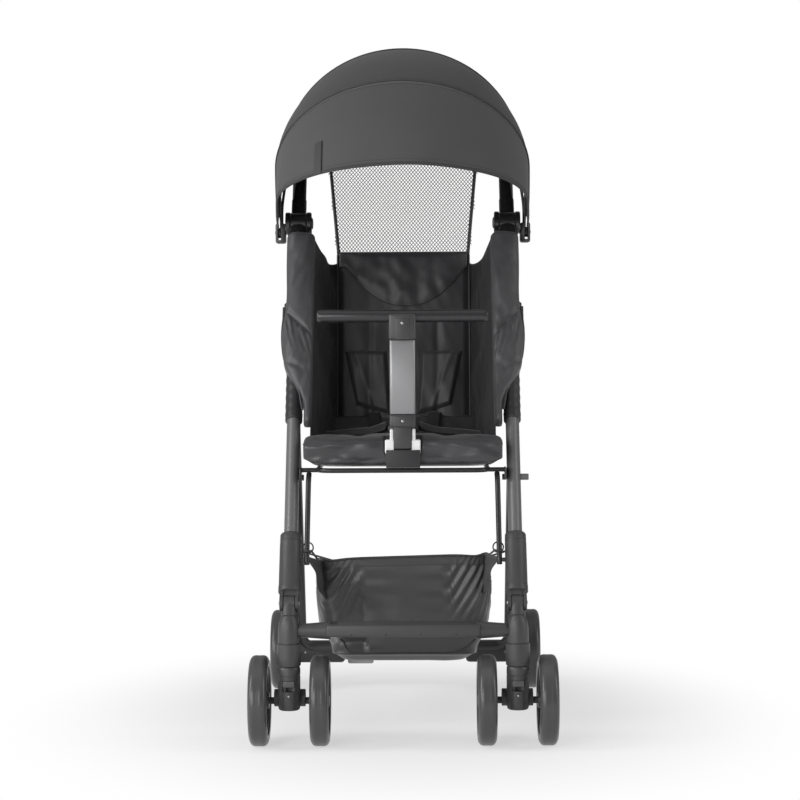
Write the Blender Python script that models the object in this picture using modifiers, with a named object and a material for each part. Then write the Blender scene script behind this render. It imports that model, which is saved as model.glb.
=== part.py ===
"""Lightweight folding stroller.

The frame has two oval leg tubes that lean back from the front casters to the shoulder hinges.  The lower
legs fold forward at the knee, the rear legs fold forward under the seat and the push handle folds down
behind it.  The seat, side wings, canopy and basket are soft parts on that frame.

The front of the stroller faces -Y.  The origin is on the ground, half way between the wheel axles.
"""

import math

import bmesh
import bpy
from mathutils import Matrix, Vector

# Wheels and casters
WHEELBASE = 0.482
TYRE_RADIUS = 0.0625
TYRE_WIDTH = 0.026
TYRE_STEPS = 24
TYRE_SEAT_RADIUS = 0.0476
RIM_RADIUS = 0.0470
RIM_STEPS = 15
SPOKES = 5
SPOKE_WIDTH = 0.0075
AXLE_RADIUS = 0.0048
AXLE_PLAY = 0.0005
HUB_RADIUS = 0.0125
HUB_CAP = 0.0130
WEB_RADIUS = 0.0390
WEB_HALF = 0.0030
RIM_INNER_RADIUS = 0.0405
RIM_HALF = 0.0105
WINDOW_INNER_RADIUS = 0.0160
WINDOW_OUTER_RADIUS = 0.0375
CASTER_TRAIL = 0.018
CASTER_TOP_Z = 0.1129
CASTER_FOOT_Z = 0.0525
CASTER_RADIUS = 0.0155
AXLE_BOSS_RADIUS = 0.0120
AXLE_BOSS_HALF = 0.0215
LOCK_Y = -0.0126
LOCK_Z = 0.0893
TWIN_SPACING = 0.084
REAR_TRACK = 0.400

# Frame, with the leg line given by one point and its lean
LEG_X = 0.157
LEG_LEAN = math.radians(29.5)
LEG_FOOT_BEHIND_STEM = 0.006
LEG_FOOT_Z = 0.180
LEG_TUBE_WIDTH = 0.0195
LEG_TUBE_DEPTH = 0.026
KNEE_Z = 0.197
SHOULDER_Z = 0.733
SLEEVE_TOP_Z = 0.287
SLEEVE_FOOT_Z = 0.2105
SLEEVE_RADIUS = 0.0157
KNUCKLE_HALF = 0.0078
KNUCKLE_RADIUS = 0.0112
EAR_X = 0.0108
EAR_HALF = 0.0024
EAR_RADIUS = 0.0120
PIN_RADIUS = 0.0028
PIN_BORE_RADIUS = 0.0032
PIN_HALF = 0.0100
STRUT_PIN_Z = 0.2530
FOLD_STUD_Z = 0.3640
TUBE_FOOT_Z = 0.2285
TUBE_TOP_Z = 0.7100
COLLAR_RADIUS = 0.0168
COLLAR_FOOT_Z = 0.1133
SOCKET_RADIUS = 0.0151
LOWER_TUBE_RADIUS = 0.0108

# Footrest, a tray between the two collars
FOOTREST_Z = 0.1615
FOOTREST_LENGTH = 0.211
FOOTREST_DEPTH = 0.042
FOOTREST_HEIGHT = 0.0170
FOOTREST_BAR_RADIUS = 0.0088
FOOTREST_RIBS = (-0.075, -0.025, 0.025, 0.075)

# Shoulders: a socket on the leg tube and two cheeks about the handle's knuckle
SHOULDER_RADIUS = 0.0158
CHEEK_INNER_X = 0.0120
CHEEK_OUTER_X = 0.0195
CHEEK_RADIUS = 0.0170
HANDLE_KNUCKLE_RADIUS = 0.0166
BUTTON_RADIUS = 0.0090

# Rear legs, from their brackets down to the axle beam
REAR_LEG_X = 0.165
REAR_LEG_RADIUS = 0.0075
REAR_PIVOT_Y = 0.016
REAR_PIVOT_Z = 0.585
BEAM_Z = 0.0644
REAR_LEG_INNER_X = 0.105
REAR_LEG_BEND = 0.0240
REAR_EYE_RADIUS = 0.0110
PEDAL_X = -0.0725
PEDAL_GROOVES = 5
PEDAL_GROOVE_PITCH = 0.0072

# Handle
HANDLE_LEAN = math.radians(33.0)
HANDLE_FOLD = math.radians(100.0)
HANDLE_Z = 0.930
HANDLE_RADIUS = 0.0105
HANDLE_BEND = 0.050
GRIP_RADIUS = 0.0145
GRIP_HALF = 0.092

# Seat and backrest
SEAT_HALF = 0.141
SEAT_FRONT_Y = -0.176
SEAT_BACK_Y = 0.070
SEAT_TOP_Z = 0.424
SEAT_BOTTOM_Z = 0.3783
RECLINE_Y = 0.081
RECLINE_Z = 0.410
BACK_LEAN = math.radians(13.0)
BACK_HALF = 0.1025
BACK_LENGTH = 0.288
BACK_THICKNESS = 0.020
NET_LENGTH = 0.158
NET_TOP_HALF = 0.1175
NET_THICKNESS = 0.0025
NET_LEAN = math.radians(5.0)
NET_BINDING = 0.0062
SEAT_FRAME_Z = 0.3750
SEAT_FRAME_HALF = 0.1205
SEAT_WIRE_RADIUS = 0.0035
STRUT_X = 0.1340
STRUT_RADIUS = 0.0038
WING_LOW_Z = 0.448
WING_HIGH_Z = 0.711
WING_INNER_X = 0.1310
PANEL_X = 0.1345
PANEL_REAR_X = 0.1008
BUCKLE_Y = -0.0560
BUCKLE_Z = 0.4291

# Bumper
BUMPER_Y = -0.171
BUMPER_PIVOT_Z = 0.4215
BUMPER_BAR_Z = 0.5925
BUMPER_BAR_HALF = 0.120
BUMPER_BAR_RADIUS = 0.009
POST_LOW_Z = 0.4549
POST_HIGH_Z = 0.5585
POST_WIDTH = 0.0360
POST_DEPTH = 0.0220
TONGUE_WIDTH = 0.0248
STEM_HOLE_Y = -0.1680

# Canopy hoops, all turning about one axis through the clamps
CANOPY_Y = 0.071
CANOPY_Z = 0.7195
CANOPY_HALF = 0.1905
CANOPY_STRAIGHT = 0.116
CANOPY_CLOTH = 0.0016
REAR_HOOP_ANGLE = math.radians(-4.0)
FRONT_HOOP_ANGLE = math.radians(37.0)
VISOR_ANGLE = math.radians(69.0)
REAR_HOOP_HEIGHT = 0.281
FRONT_HOOP_HEIGHT = 0.264
VISOR_HEIGHT = 0.246
HOOP_INSET = 0.0040
HOOP_RADIUS = 0.0021
REAR_HOOP_OFFSET = 0.0108
CLOTH_FOOT = 0.0240
CLAMP_X = 0.18445
HOOP_EYE_LOW_X = 0.1844
HOOP_EYE_HIGH_X = 0.1884
BACK_ARCH_HALF = 0.165

# Basket
BASKET_FRONT_Y = -0.143
BASKET_BACK_Y = 0.150
BASKET_HALF = 0.1265
BASKET_TOP_Z = 0.250
BASKET_BOTTOM_Z = 0.097
BASKET_CLOTH = 0.0022
BASKET_CORD = 0.0016
CORD_CORNER_X = 0.1085
CORD_CORNER_Y = 0.1255
CORD_HOOK_Z = 0.2620
STRUT_HOOK = (0.1339, -0.2089, 0.2660)

# Clearance kept between pieces that touch
GAP = 0.0004

AXLE_Z = TYRE_RADIUS * math.cos(math.pi / TYRE_STEPS)
FRONT_AXLE_Y = -WHEELBASE / 2
REAR_AXLE_Y = WHEELBASE / 2
STEM_Y = FRONT_AXLE_Y - CASTER_TRAIL
LEG_UP = Vector((0.0, math.sin(LEG_LEAN), math.cos(LEG_LEAN)))
LEG_BACK = Vector((0.0, math.cos(LEG_LEAN), -math.sin(LEG_LEAN)))
SIDES = (("left", -1), ("right", 1))

PARTS = "lightweight_stroller"
CUTTERS = "cutters"


# Scene, collections and materials

def clear_scene():
    """Remove what is in the scene and make the two collections."""
    for item in list(bpy.data.objects):
        bpy.data.objects.remove(item, do_unlink=True)
    for name in (PARTS, CUTTERS):
        bpy.context.scene.collection.children.link(bpy.data.collections.new(name))


def make_material(name, colour, roughness, metallic=0.0):
    """Return a plain Principled material."""
    material = bpy.data.materials.new(name)
    material.use_nodes = True
    shader = material.node_tree.nodes["Principled BSDF"]
    shader.inputs["Base Color"].default_value = (*colour, 1.0)
    shader.inputs["Roughness"].default_value = roughness
    shader.inputs["Metallic"].default_value = metallic
    return material


def new_object(name, data, collection=PARTS):
    """Make an object for a mesh or curve in one of the two collections."""
    item = bpy.data.objects.new(name, data)
    bpy.data.collections[collection].objects.link(item)
    return item


def new_joint(name, place):
    """Make the empty that stands on a joint's axis."""
    empty = new_object(name, None)
    empty.empty_display_size = 0.02
    empty.location = place
    return empty


def hang(item, parent):
    """Parent an object and leave it where it is."""
    bpy.context.view_layer.update()
    item.parent = parent
    item.matrix_parent_inverse = parent.matrix_world.inverted()
    return item


def dress(item, material, parent=None):
    """Give a piece its material, smooth shading and parent."""
    item.data.materials.clear()
    item.data.materials.append(material)
    if item.type == "MESH":
        item.data.shade_smooth()
        item.data.set_sharp_from_angle(angle=math.radians(35))
    if parent:
        hang(item, parent)
    return item


# Shapes

def mesh_object(name, build):
    """Make a mesh object from a function that fills a bmesh."""
    shape = bmesh.new()
    build(shape)
    mesh = bpy.data.meshes.new(name)
    shape.to_mesh(mesh)
    shape.free()
    return new_object(name, mesh)


def block(name, size, place, bevel=0.0, segments=2):
    """Make a box centred on a place, with rounded edges."""
    item = mesh_object(name, lambda shape: bmesh.ops.create_cube(
        shape, size=1.0, matrix=Matrix.Diagonal((*size, 1.0))))
    item.location = place
    if bevel:
        rounding = item.modifiers.new("rounded edges", "BEVEL")
        rounding.width = bevel
        rounding.segments = segments
        rounding.limit_method = "ANGLE"
    return item


def rod(name, start, end, radius, sides=12, end_radius=None):
    """Make a round bar, or a cone, between two points."""
    start, end = Vector(start), Vector(end)
    item = mesh_object(name, lambda shape: bmesh.ops.create_cone(
        shape, cap_ends=True, segments=sides, radius1=radius,
        radius2=radius if end_radius is None else end_radius, depth=(end - start).length))
    item.location = (start + end) / 2
    item.rotation_mode = "QUATERNION"
    item.rotation_quaternion = (end - start).to_track_quat("Z", "Y")
    return item


def turned(name, profile, place, steps=18, ring=False):
    """Turn a profile of (radius, height) points, top to bottom on its outer side, about local Z."""
    def build(shape):
        points = [shape.verts.new((radius, 0.0, height)) for radius, height in profile]
        for first, second in zip(points, points[1:]):
            shape.edges.new((first, second))
        if ring:
            shape.edges.new((points[-1], points[0]))

    item = mesh_object(name, build)
    item.location = place
    screw = item.modifiers.new("turn", "SCREW")
    screw.steps = steps
    screw.render_steps = steps
    screw.use_merge_vertices = True
    screw.merge_threshold = 0.00001
    return item


def outline_slab(name, outline, thickness):
    """Make a flat plate from a closed outline in local XY, centred on its thickness."""
    curve = bpy.data.curves.new(name, "CURVE")
    curve.dimensions = "2D"
    curve.fill_mode = "BOTH"
    curve.extrude = thickness / 2
    spline = curve.splines.new("POLY")
    spline.points.add(len(outline) - 1)
    for point, (x, y) in zip(spline.points, outline):
        point.co = (x, y, 0.0, 1.0)
    spline.use_cyclic_u = True
    return as_mesh(new_object(name, curve))


def pipe(name, points, radius, resolution=3):
    """Make a round tube along points in space, with closed ends."""
    curve = bpy.data.curves.new(name, "CURVE")
    curve.dimensions = "3D"
    curve.bevel_depth = radius
    curve.bevel_resolution = resolution
    curve.use_fill_caps = True
    spline = curve.splines.new("POLY")
    spline.points.add(len(points) - 1)
    for point, place in zip(spline.points, points):
        point.co = (*place, 1.0)
    return as_mesh(new_object(name, curve))


def as_mesh(item):
    """Replace an object by the welded mesh that its curve or modifiers make."""
    bpy.context.view_layer.update()
    graph = bpy.context.evaluated_depsgraph_get()
    mesh = bpy.data.meshes.new_from_object(item.evaluated_get(graph))
    shape = bmesh.new()
    shape.from_mesh(mesh)
    bmesh.ops.remove_doubles(shape, verts=shape.verts, dist=0.00001)
    shape.to_mesh(mesh)
    shape.free()
    name, place = item.name, item.matrix_world.copy()
    bpy.data.objects.remove(item, do_unlink=True)
    solid = new_object(name, mesh)
    solid.matrix_world = place
    return solid


def combine(item, tool, operation):
    """Add a Boolean with a tool that moves to the cutters' collection."""
    bpy.data.collections[PARTS].objects.unlink(tool)
    bpy.data.collections[CUTTERS].objects.link(tool)
    tool.hide_render = True
    tool.display_type = "WIRE"
    step = item.modifiers.new(operation.lower(), "BOOLEAN")
    step.operation = operation
    step.object = tool
    return item


def cut(item, *tools):
    """Cut each tool out of a piece."""
    for tool in tools:
        combine(item, tool, "DIFFERENCE")
    return item


def fuse(item, *tools):
    """Join each tool to a piece."""
    for tool in tools:
        combine(item, tool, "UNION")
    return item


def rounded_path(corners, radius, steps=4):
    """Return the corners of a path with each inner corner rounded by an arc."""
    corners = [Vector(corner) for corner in corners]
    path = [corners[0]]
    for before, corner, after in zip(corners, corners[1:], corners[2:]):
        towards = (before - corner).normalized()
        away = (after - corner).normalized()
        half = towards.angle(away) / 2
        centre = corner + (towards + away).normalized() * (radius / math.sin(half))
        first = corner + towards * (radius / math.tan(half)) - centre
        last = corner + away * (radius / math.tan(half)) - centre
        axis = first.cross(last).normalized()
        sweep = first.angle(last)
        for step in range(steps + 1):
            path.append(centre + Matrix.Rotation(sweep * step / steps, 3, axis) @ first)
    path.append(corners[-1])
    return path


def oval(width, depth, sides=14):
    """Return the outline of an ellipse."""
    return [(width / 2 * math.cos(2 * math.pi * step / sides),
             depth / 2 * math.sin(2 * math.pi * step / sides)) for step in range(sides)]


def rounded_rectangle(width, height, radius, steps=3):
    """Return the outline of a rectangle with round corners."""
    outline = []
    for quarter, (across, up) in enumerate(((1, 1), (-1, 1), (-1, -1), (1, -1))):
        for step in range(steps + 1):
            angle = math.pi / 2 * (quarter + step / steps)
            outline.append((across * (width / 2 - radius) + radius * math.cos(angle),
                            up * (height / 2 - radius) + radius * math.sin(angle)))
    return outline


def leg_point(side, z, behind=0.0):
    """Return the point of the leg line at a height, moved square to the leg towards its back."""
    y = STEM_Y + LEG_FOOT_BEHIND_STEM + (z - LEG_FOOT_Z) * math.tan(LEG_LEAN)
    return Vector((side * LEG_X, y, z)) + LEG_BACK * behind


def leg_oval(name, side, low_z, high_z, spare=0.0):
    """Make a length of the oval leg tube between two heights."""
    low, high = leg_point(side, low_z), leg_point(side, high_z)
    outline = oval(LEG_TUBE_WIDTH + 2 * spare, LEG_TUBE_DEPTH + 2 * spare)
    item = outline_slab(name, outline, (high - low).length)
    item.location = (low + high) / 2
    item.rotation_euler = (-LEG_LEAN, 0.0, 0.0)
    return item


# Wheels

def make_tyre_mesh():
    """Return the tyre: a solid ring with a flat tread and round shoulders."""
    half = TYRE_WIDTH / 2
    profile = [(TYRE_SEAT_RADIUS, half - 0.001), (0.0580, half), (TYRE_RADIUS, 0.006),
               (TYRE_RADIUS, -0.006), (0.0580, -half), (TYRE_SEAT_RADIUS, 0.001 - half)]
    tyre = as_mesh(turned("tyre", profile, (0, 0, 0), TYRE_STEPS, ring=True))
    mesh = tyre.data
    mesh.transform(Matrix.Rotation(math.pi / TYRE_STEPS, 4, "Z"))
    bpy.data.objects.remove(tyre)
    return mesh


def spoke_window(place):
    """Make the cutter for one opening between two spokes."""
    outline = []
    for radius, order in ((WINDOW_OUTER_RADIUS, (0.0, 0.5, 1.0)), (WINDOW_INNER_RADIUS, (1.0, 0.0))):
        reach = math.pi / SPOKES - math.asin(SPOKE_WIDTH / 2 / radius)
        for part in order:
            angle = (2 * part - 1) * reach
            outline.append((radius * math.cos(angle), radius * math.sin(angle)))
    window = outline_slab("spoke_window", outline, 0.020)
    window.rotation_euler = (0.0, 0.0, 2 * math.pi * place / SPOKES)
    return window


def make_rim_mesh():
    """Return the rim: hub with a blind bore, spoked web and rim ring, its cap towards local +Z."""
    profile = [(0.0, HUB_CAP), (0.0085, HUB_CAP - 0.0012), (HUB_RADIUS, WEB_HALF), (WEB_RADIUS, WEB_HALF),
               (RIM_INNER_RADIUS, RIM_HALF), (RIM_RADIUS, RIM_HALF), (RIM_RADIUS, -RIM_HALF),
               (RIM_INNER_RADIUS, -RIM_HALF), (WEB_RADIUS, -WEB_HALF), (HUB_RADIUS, -WEB_HALF),
               (0.0110, -HUB_CAP - AXLE_PLAY), (0.0, -HUB_CAP - AXLE_PLAY)]
    rim = turned("rim", profile, (0, 0, 0), RIM_STEPS)
    bore = rod("hub_bore", (0, 0, -0.020), (0, 0, 0.007), AXLE_RADIUS + AXLE_PLAY, 10)
    cut(rim, bore, *(spoke_window(place) for place in range(SPOKES)))
    rim = as_mesh(rim)
    mesh = rim.data
    bpy.data.objects.remove(rim)
    return mesh


def add_wheel(name, place, outward, meshes, materials, parent_joint=None):
    """Place a tyre and a rim on their own spin axis, the hub cap facing outward (-1 left, 1 right)."""
    joint = new_joint(name + "_spin", place)
    if parent_joint:
        hang(joint, parent_joint)
    for mesh, kind in zip(meshes, ("tyre", "rim")):
        item = new_object(f"{name}_{kind}", mesh)
        item.location = place
        item.rotation_euler = (0.0, outward * math.pi / 2, 0.0)
        dress(item, materials[kind], joint)


# Casters and lower legs

def add_caster(word, side, knee, materials):
    """Make one swivel caster: housing with its axle, and the lock tab in the housing's window."""
    x = side * LEG_X
    swivel = new_joint(f"caster_{word}_swivel", (x, STEM_Y, 0.113))
    hang(swivel, knee)
    body = turned(f"caster_housing_{word}", [
        (0.0, CASTER_TOP_Z), (0.0130, CASTER_TOP_Z), (CASTER_RADIUS, CASTER_TOP_Z - 0.0019),
        (CASTER_RADIUS, CASTER_FOOT_Z + 0.0025), (0.0138, CASTER_FOOT_Z), (0.0, CASTER_FOOT_Z)],
        (x, STEM_Y, 0.0), 16)
    boss = rod("axle_boss", (x - AXLE_BOSS_HALF, FRONT_AXLE_Y, 0.0660),
               (x + AXLE_BOSS_HALF, FRONT_AXLE_Y, 0.0660), AXLE_BOSS_RADIUS, 14)
    web = block("boss_web", (0.022, 0.020, 0.034), (x, STEM_Y + 0.012, 0.0720), 0.003, 1)
    reach = TWIN_SPACING / 2 + 0.005
    axle = rod("axle", (x - reach, FRONT_AXLE_Y, AXLE_Z), (x + reach, FRONT_AXLE_Y, AXLE_Z),
               AXLE_RADIUS, 12)
    window = block("lock_window", (0.0168, 0.012, 0.0150), (x, STEM_Y - 0.0160, 0.0863))
    slot = block("lock_slot", (0.0080, 0.008, 0.0060), (x, STEM_Y - 0.0080, 0.0818))
    fuse(body, boss, web, axle)
    cut(body, window, slot)
    dress(body, materials["plastic"], swivel)
    tab = block(f"swivel_lock_{word}", (0.0160, 0.0046, 0.0080), (x, STEM_Y + LOCK_Y, LOCK_Z), 0.0008, 1)
    dress(tab, materials["grey plastic"], swivel)
    return swivel


def add_lower_leg(word, side, knee, materials):
    """Make the lower leg: caster socket, collar, leaning tube and the eye that the knee pin passes."""
    x = side * LEG_X
    leg = turned(f"lower_leg_{word}", [
        (0.0, 0.1840), (0.0085, 0.1825), (0.0125, 0.1760), (0.0148, 0.1660), (SOCKET_RADIUS, 0.1450),
        (0.0166, 0.1438), (COLLAR_RADIUS, 0.1250), (0.0160, COLLAR_FOOT_Z), (0.0, COLLAR_FOOT_Z)],
        (x, STEM_Y, 0.0), 16)
    eye = leg_point(side, KNEE_Z)
    tube = rod("lower_tube", leg_point(side, 0.1660), leg_point(side, KNEE_Z - 0.003),
               LOWER_TUBE_RADIUS, 14)
    half = Vector((KNUCKLE_HALF, 0, 0))
    knuckle = rod("knuckle", eye - half, eye + half, KNUCKLE_RADIUS, 14)
    lug_y = STEM_Y + 0.020
    lug = block("brace_lug", (0.012, 0.022, 0.012), (x - side * 0.0060, lug_y, 0.1735), 0.002, 1)
    bore = rod("pin_bore", eye - 3 * half, eye + 3 * half, PIN_BORE_RADIUS, 12)
    fuse(leg, tube, knuckle, lug)
    cut(leg, bore)
    for outer in (-1, 1):
        beside = Vector((outer * (KNUCKLE_HALF + 0.0031), 0, 0))
        cheek = block("knuckle_cheek", (0.006, 0.034, 0.046), eye + beside + LEG_UP * 0.0093)
        cheek.rotation_euler = (-LEG_LEAN, 0.0, 0.0)
        cut(leg, cheek)
    return dress(leg, materials["plastic"], knee)


def add_footrest(knee, materials):
    """Make the footrest: a shallow tray with round ends that seat against the two collars."""
    plate = block("footrest", (FOOTREST_LENGTH, FOOTREST_DEPTH, FOOTREST_HEIGHT),
                  (0.0, STEM_Y + 0.006, FOOTREST_Z + 0.001), 0.003, 1)
    bar = rod("footrest_bar", (-0.1500, STEM_Y, FOOTREST_Z), (0.1500, STEM_Y, FOOTREST_Z),
              FOOTREST_BAR_RADIUS, 12)
    hollow = block("footrest_hollow", (0.196, 0.028, 0.020), (0.0, STEM_Y + 0.006, 0.1530), 0.003, 1)
    fuse(plate, bar)
    for word, side in SIDES:
        seat = rod("collar_seat", (side * LEG_X, STEM_Y, 0.10), (side * LEG_X, STEM_Y, 0.22), 0.0156, 16)
        neck = rod("bar_neck", (side * 0.1240, STEM_Y, FOOTREST_Z), (side * 0.1420, STEM_Y, FOOTREST_Z),
                   0.0105, 12, 0.0092)
        fuse(plate, neck)
        cut(plate, seat)
    cut(plate, hollow)
    for place in FOOTREST_RIBS:
        rib = block("footrest_rib", (0.003, 0.029, 0.0100), (place, STEM_Y + 0.006, 0.1592))
        fuse(plate, rib)
    return dress(plate, materials["plastic"], knee)


# Knee sleeves, leg tubes, shoulders

def add_knee_sleeve(word, side, materials):
    """Make the sleeve on the foot of the leg tube, with two ears and the knee pin between them."""
    length = (SLEEVE_TOP_Z - SLEEVE_FOOT_Z) / math.cos(LEG_LEAN)
    foot = leg_point(side, SLEEVE_FOOT_Z)
    sleeve = turned(f"knee_sleeve_{word}", [
        (0.0, length), (0.0130, length), (0.0150, length - 0.0025), (0.0152, length - 0.012),
        (SLEEVE_RADIUS, 0.008), (SLEEVE_RADIUS, 0.0), (0.0, 0.0)], foot, 16)
    sleeve.rotation_euler = (-LEG_LEAN, 0.0, 0.0)
    eye = leg_point(side, KNEE_Z)
    for outer in (-1, 1):
        ear_x = Vector((outer * EAR_X, 0, 0))
        half = Vector((EAR_HALF, 0, 0))
        fuse(sleeve, rod("ear", eye + ear_x - half, eye + ear_x + half, EAR_RADIUS, 12))
        arm = block("ear_arm", (2 * EAR_HALF, 0.0196, 0.0260), eye + ear_x + LEG_UP * 0.013)
        arm.rotation_euler = (-LEG_LEAN, 0.0, 0.0)
        fuse(sleeve, arm)
    slot = block("eye_slot", (0.0162, 0.0450, 0.0400), eye - LEG_UP * 0.0065)
    slot.rotation_euler = (-LEG_LEAN, 0.0, 0.0)
    cut(sleeve, slot, leg_oval("tube_bore", side, TUBE_FOOT_Z - 0.0005, 0.320, GAP))
    pin_half = Vector((PIN_HALF, 0, 0))
    fuse(sleeve, rod("knee_pin", eye - pin_half, eye + pin_half, PIN_RADIUS, 12))
    lug = leg_point(side, STRUT_PIN_Z)
    fuse(sleeve, rod("strut_pin", lug - Vector((side * 0.010, 0, 0)), lug - Vector((side * 0.0188, 0, 0)),
                     0.0030, 12))
    return dress(sleeve, materials["plastic"])


def add_leg_tube(word, side, materials):
    """Make the oval leg tube; the right one carries the stud of the fold catch."""
    tube = leg_oval(f"leg_tube_{word}", side, TUBE_FOOT_Z, TUBE_TOP_Z)
    if side > 0:
        stud = leg_point(side, FOLD_STUD_Z)
        fuse(tube, rod("fold_stud", stud, stud + Vector((0.0210, 0, 0)), 0.0045, 12))
    return dress(tube, materials["leg tube"])


def add_shoulder(word, side, materials):
    """Make the shoulder housing: a socket on the leg tube and two cheeks about the handle's knuckle."""
    axis = leg_point(side, SHOULDER_Z)
    housing = rod(f"shoulder_{word}", axis - LEG_UP * 0.0560, axis - LEG_UP * 0.0100, SHOULDER_RADIUS, 18)
    for outer in (-1, 1):
        near = axis + Vector((outer * CHEEK_INNER_X, 0, 0))
        far = axis + Vector((outer * CHEEK_OUTER_X, 0, 0))
        fuse(housing, rod("cheek", near, far, CHEEK_RADIUS, 18))
    half = Vector((CHEEK_INNER_X, 0, 0))
    room = rod("knuckle_room", axis - half, axis + half, CHEEK_RADIUS + GAP, 18)
    rest = HANDLE_LEAN + HANDLE_FOLD
    notch = rod("handle_notch", axis, axis + Vector((0.0, math.sin(rest), math.cos(rest))) * 0.060, 0.0118, 14)
    cut(housing, room, notch, leg_oval("tube_bore", side, 0.60, TUBE_TOP_Z + GAP, GAP))
    inner = -side
    button = axis + Vector((inner * CHEEK_OUTER_X, 0, 0))
    cut(housing, rod("button_recess", button - Vector((inner * 0.0056, 0, 0)),
                     button + Vector((inner * 0.0100, 0, 0)), BUTTON_RADIUS + 0.0008, 14))
    return dress(housing, materials["gloss plastic"])


def add_rear_bracket(word, side, materials):
    """Make the bracket behind the leg tube: a saddle, two ears and the pin of the rear leg."""
    pivot = Vector((side * REAR_LEG_X, REAR_PIVOT_Y, REAR_PIVOT_Z))
    saddle_place = leg_point(side, 0.598, 0.0165)
    saddle_place.x = side * 0.1615
    saddle = block(f"rear_bracket_{word}", (0.0290, 0.0150, 0.0500), saddle_place, 0.003, 1)
    saddle.rotation_euler = (-LEG_LEAN, 0.0, 0.0)
    for outer in (-1, 1):
        ear_x = Vector((outer * EAR_X, 0, 0))
        half = Vector((EAR_HALF, 0, 0))
        fuse(saddle, rod("ear", pivot + ear_x - half, pivot + ear_x + half, REAR_EYE_RADIUS, 12))
        web = block("ear_web", (2 * EAR_HALF, 0.0300, 0.0210), pivot + ear_x - LEG_BACK * 0.0110)
        web.rotation_euler = (-LEG_LEAN, 0.0, 0.0)
        fuse(saddle, web)
    half = Vector((PIN_HALF, 0, 0))
    room = Vector((KNUCKLE_HALF + 0.0003, 0, 0))
    slot = rod("eye_slot", pivot - room, pivot + room, 0.0124, 14)
    cut(saddle, slot, leg_oval("tube_seat", side, 0.52, 0.66, GAP))
    fuse(saddle, rod("rear_pin", pivot - half, pivot + half, PIN_RADIUS, 12))
    return dress(saddle, materials["plastic"])


# Rear legs, axle beam, pedal

def rear_leg_path(side):
    """Return the rear leg's centre line, from its pivot to its inner end beside the beam."""
    return rounded_path([(side * REAR_LEG_X, REAR_PIVOT_Y, REAR_PIVOT_Z),
                         (side * REAR_LEG_X, REAR_AXLE_Y, BEAM_Z),
                         (side * REAR_LEG_INNER_X, REAR_AXLE_Y, BEAM_Z)], REAR_LEG_BEND)


def add_rear_leg(word, side, fold, materials):
    """Make the bent rear leg with the eye at its top."""
    path = rear_leg_path(side)
    pivot = path[0]
    path[0] = pivot + (path[1] - pivot).normalized() * 0.004
    leg = pipe(f"rear_leg_{word}", path, REAR_LEG_RADIUS)
    half = Vector((KNUCKLE_HALF - 0.0001, 0, 0))
    fuse(leg, rod("eye", pivot - half, pivot + half, REAR_EYE_RADIUS, 14))
    cut(leg, rod("pin_bore", pivot - 3 * half, pivot + 3 * half, PIN_BORE_RADIUS, 12))
    return dress(leg, materials["rear tube"], fold)


def add_axle_beam(fold, materials):
    """Make the rear beam: the cross tube, the two end housings that hold the legs, and the axles."""
    end = REAR_LEG_INNER_X - GAP
    beam = rod("rear_axle_beam", (-end, REAR_AXLE_Y, BEAM_Z), (end, REAR_AXLE_Y, BEAM_Z),
               REAR_LEG_RADIUS, 16)
    for word, side in SIDES:
        housing = block("axle_housing", (0.0820, 0.0250, 0.0340),
                        (side * 0.1375, REAR_AXLE_Y + 0.0075, 0.0570), 0.005, 1)
        axle = rod("rear_axle", (side * 0.1700, REAR_AXLE_Y, AXLE_Z),
                   (side * (REAR_TRACK / 2 + 0.0050), REAR_AXLE_Y, AXLE_Z), AXLE_RADIUS, 12)
        room = rear_leg_path(side)
        room[-1] = room[-1] - Vector((side * 2 * GAP, 0, 0))
        seat = pipe("leg_seat", room, REAR_LEG_RADIUS + GAP)
        root = block("axle_root", (0.0090, 0.0200, 0.0260), (side * 0.1785, REAR_AXLE_Y + 0.0030, 0.0600),
                     0.003, 1)
        fuse(beam, housing, root)
        cut(beam, seat)
        fuse(beam, axle)
    return dress(beam, materials["plastic"], fold)


def add_brake_pedal(fold, materials):
    """Make the ribbed foot pedal that turns on the beam, left of the middle."""
    x, y = PEDAL_X, REAR_AXLE_Y
    joint = new_joint("brake_pedal_axis", (x, y, BEAM_Z))
    hang(joint, fold)
    pedal = rod("brake_pedal", (x - 0.0110, y, BEAM_Z), (x + 0.0110, y, BEAM_Z), 0.0118, 14)
    arm = block("pedal_arm", (0.0200, 0.0300, 0.0080), (x, y + 0.0200, 0.0530), 0.001, 1)
    arm.rotation_euler = (math.radians(-32), 0.0, 0.0)
    pad = block("pedal_pad", (0.0415, 0.0240, 0.0130), (x, y + 0.0400, 0.0400), 0.003, 1)
    fuse(pedal, arm, pad)
    for place in range(PEDAL_GROOVES):
        groove_x = x + PEDAL_GROOVE_PITCH * (place - (PEDAL_GROOVES - 1) / 2)
        cut(pedal, block("pedal_groove", (0.0028, 0.0300, 0.0050), (groove_x, y + 0.0400, 0.0475)))
    bore = rod("pedal_bore", (x - 0.03, y, BEAM_Z), (x + 0.03, y, BEAM_Z), REAR_LEG_RADIUS + 0.0005, 16)
    cut(pedal, bore)
    return dress(pedal, materials["pedal"], joint)


# Handle

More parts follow.
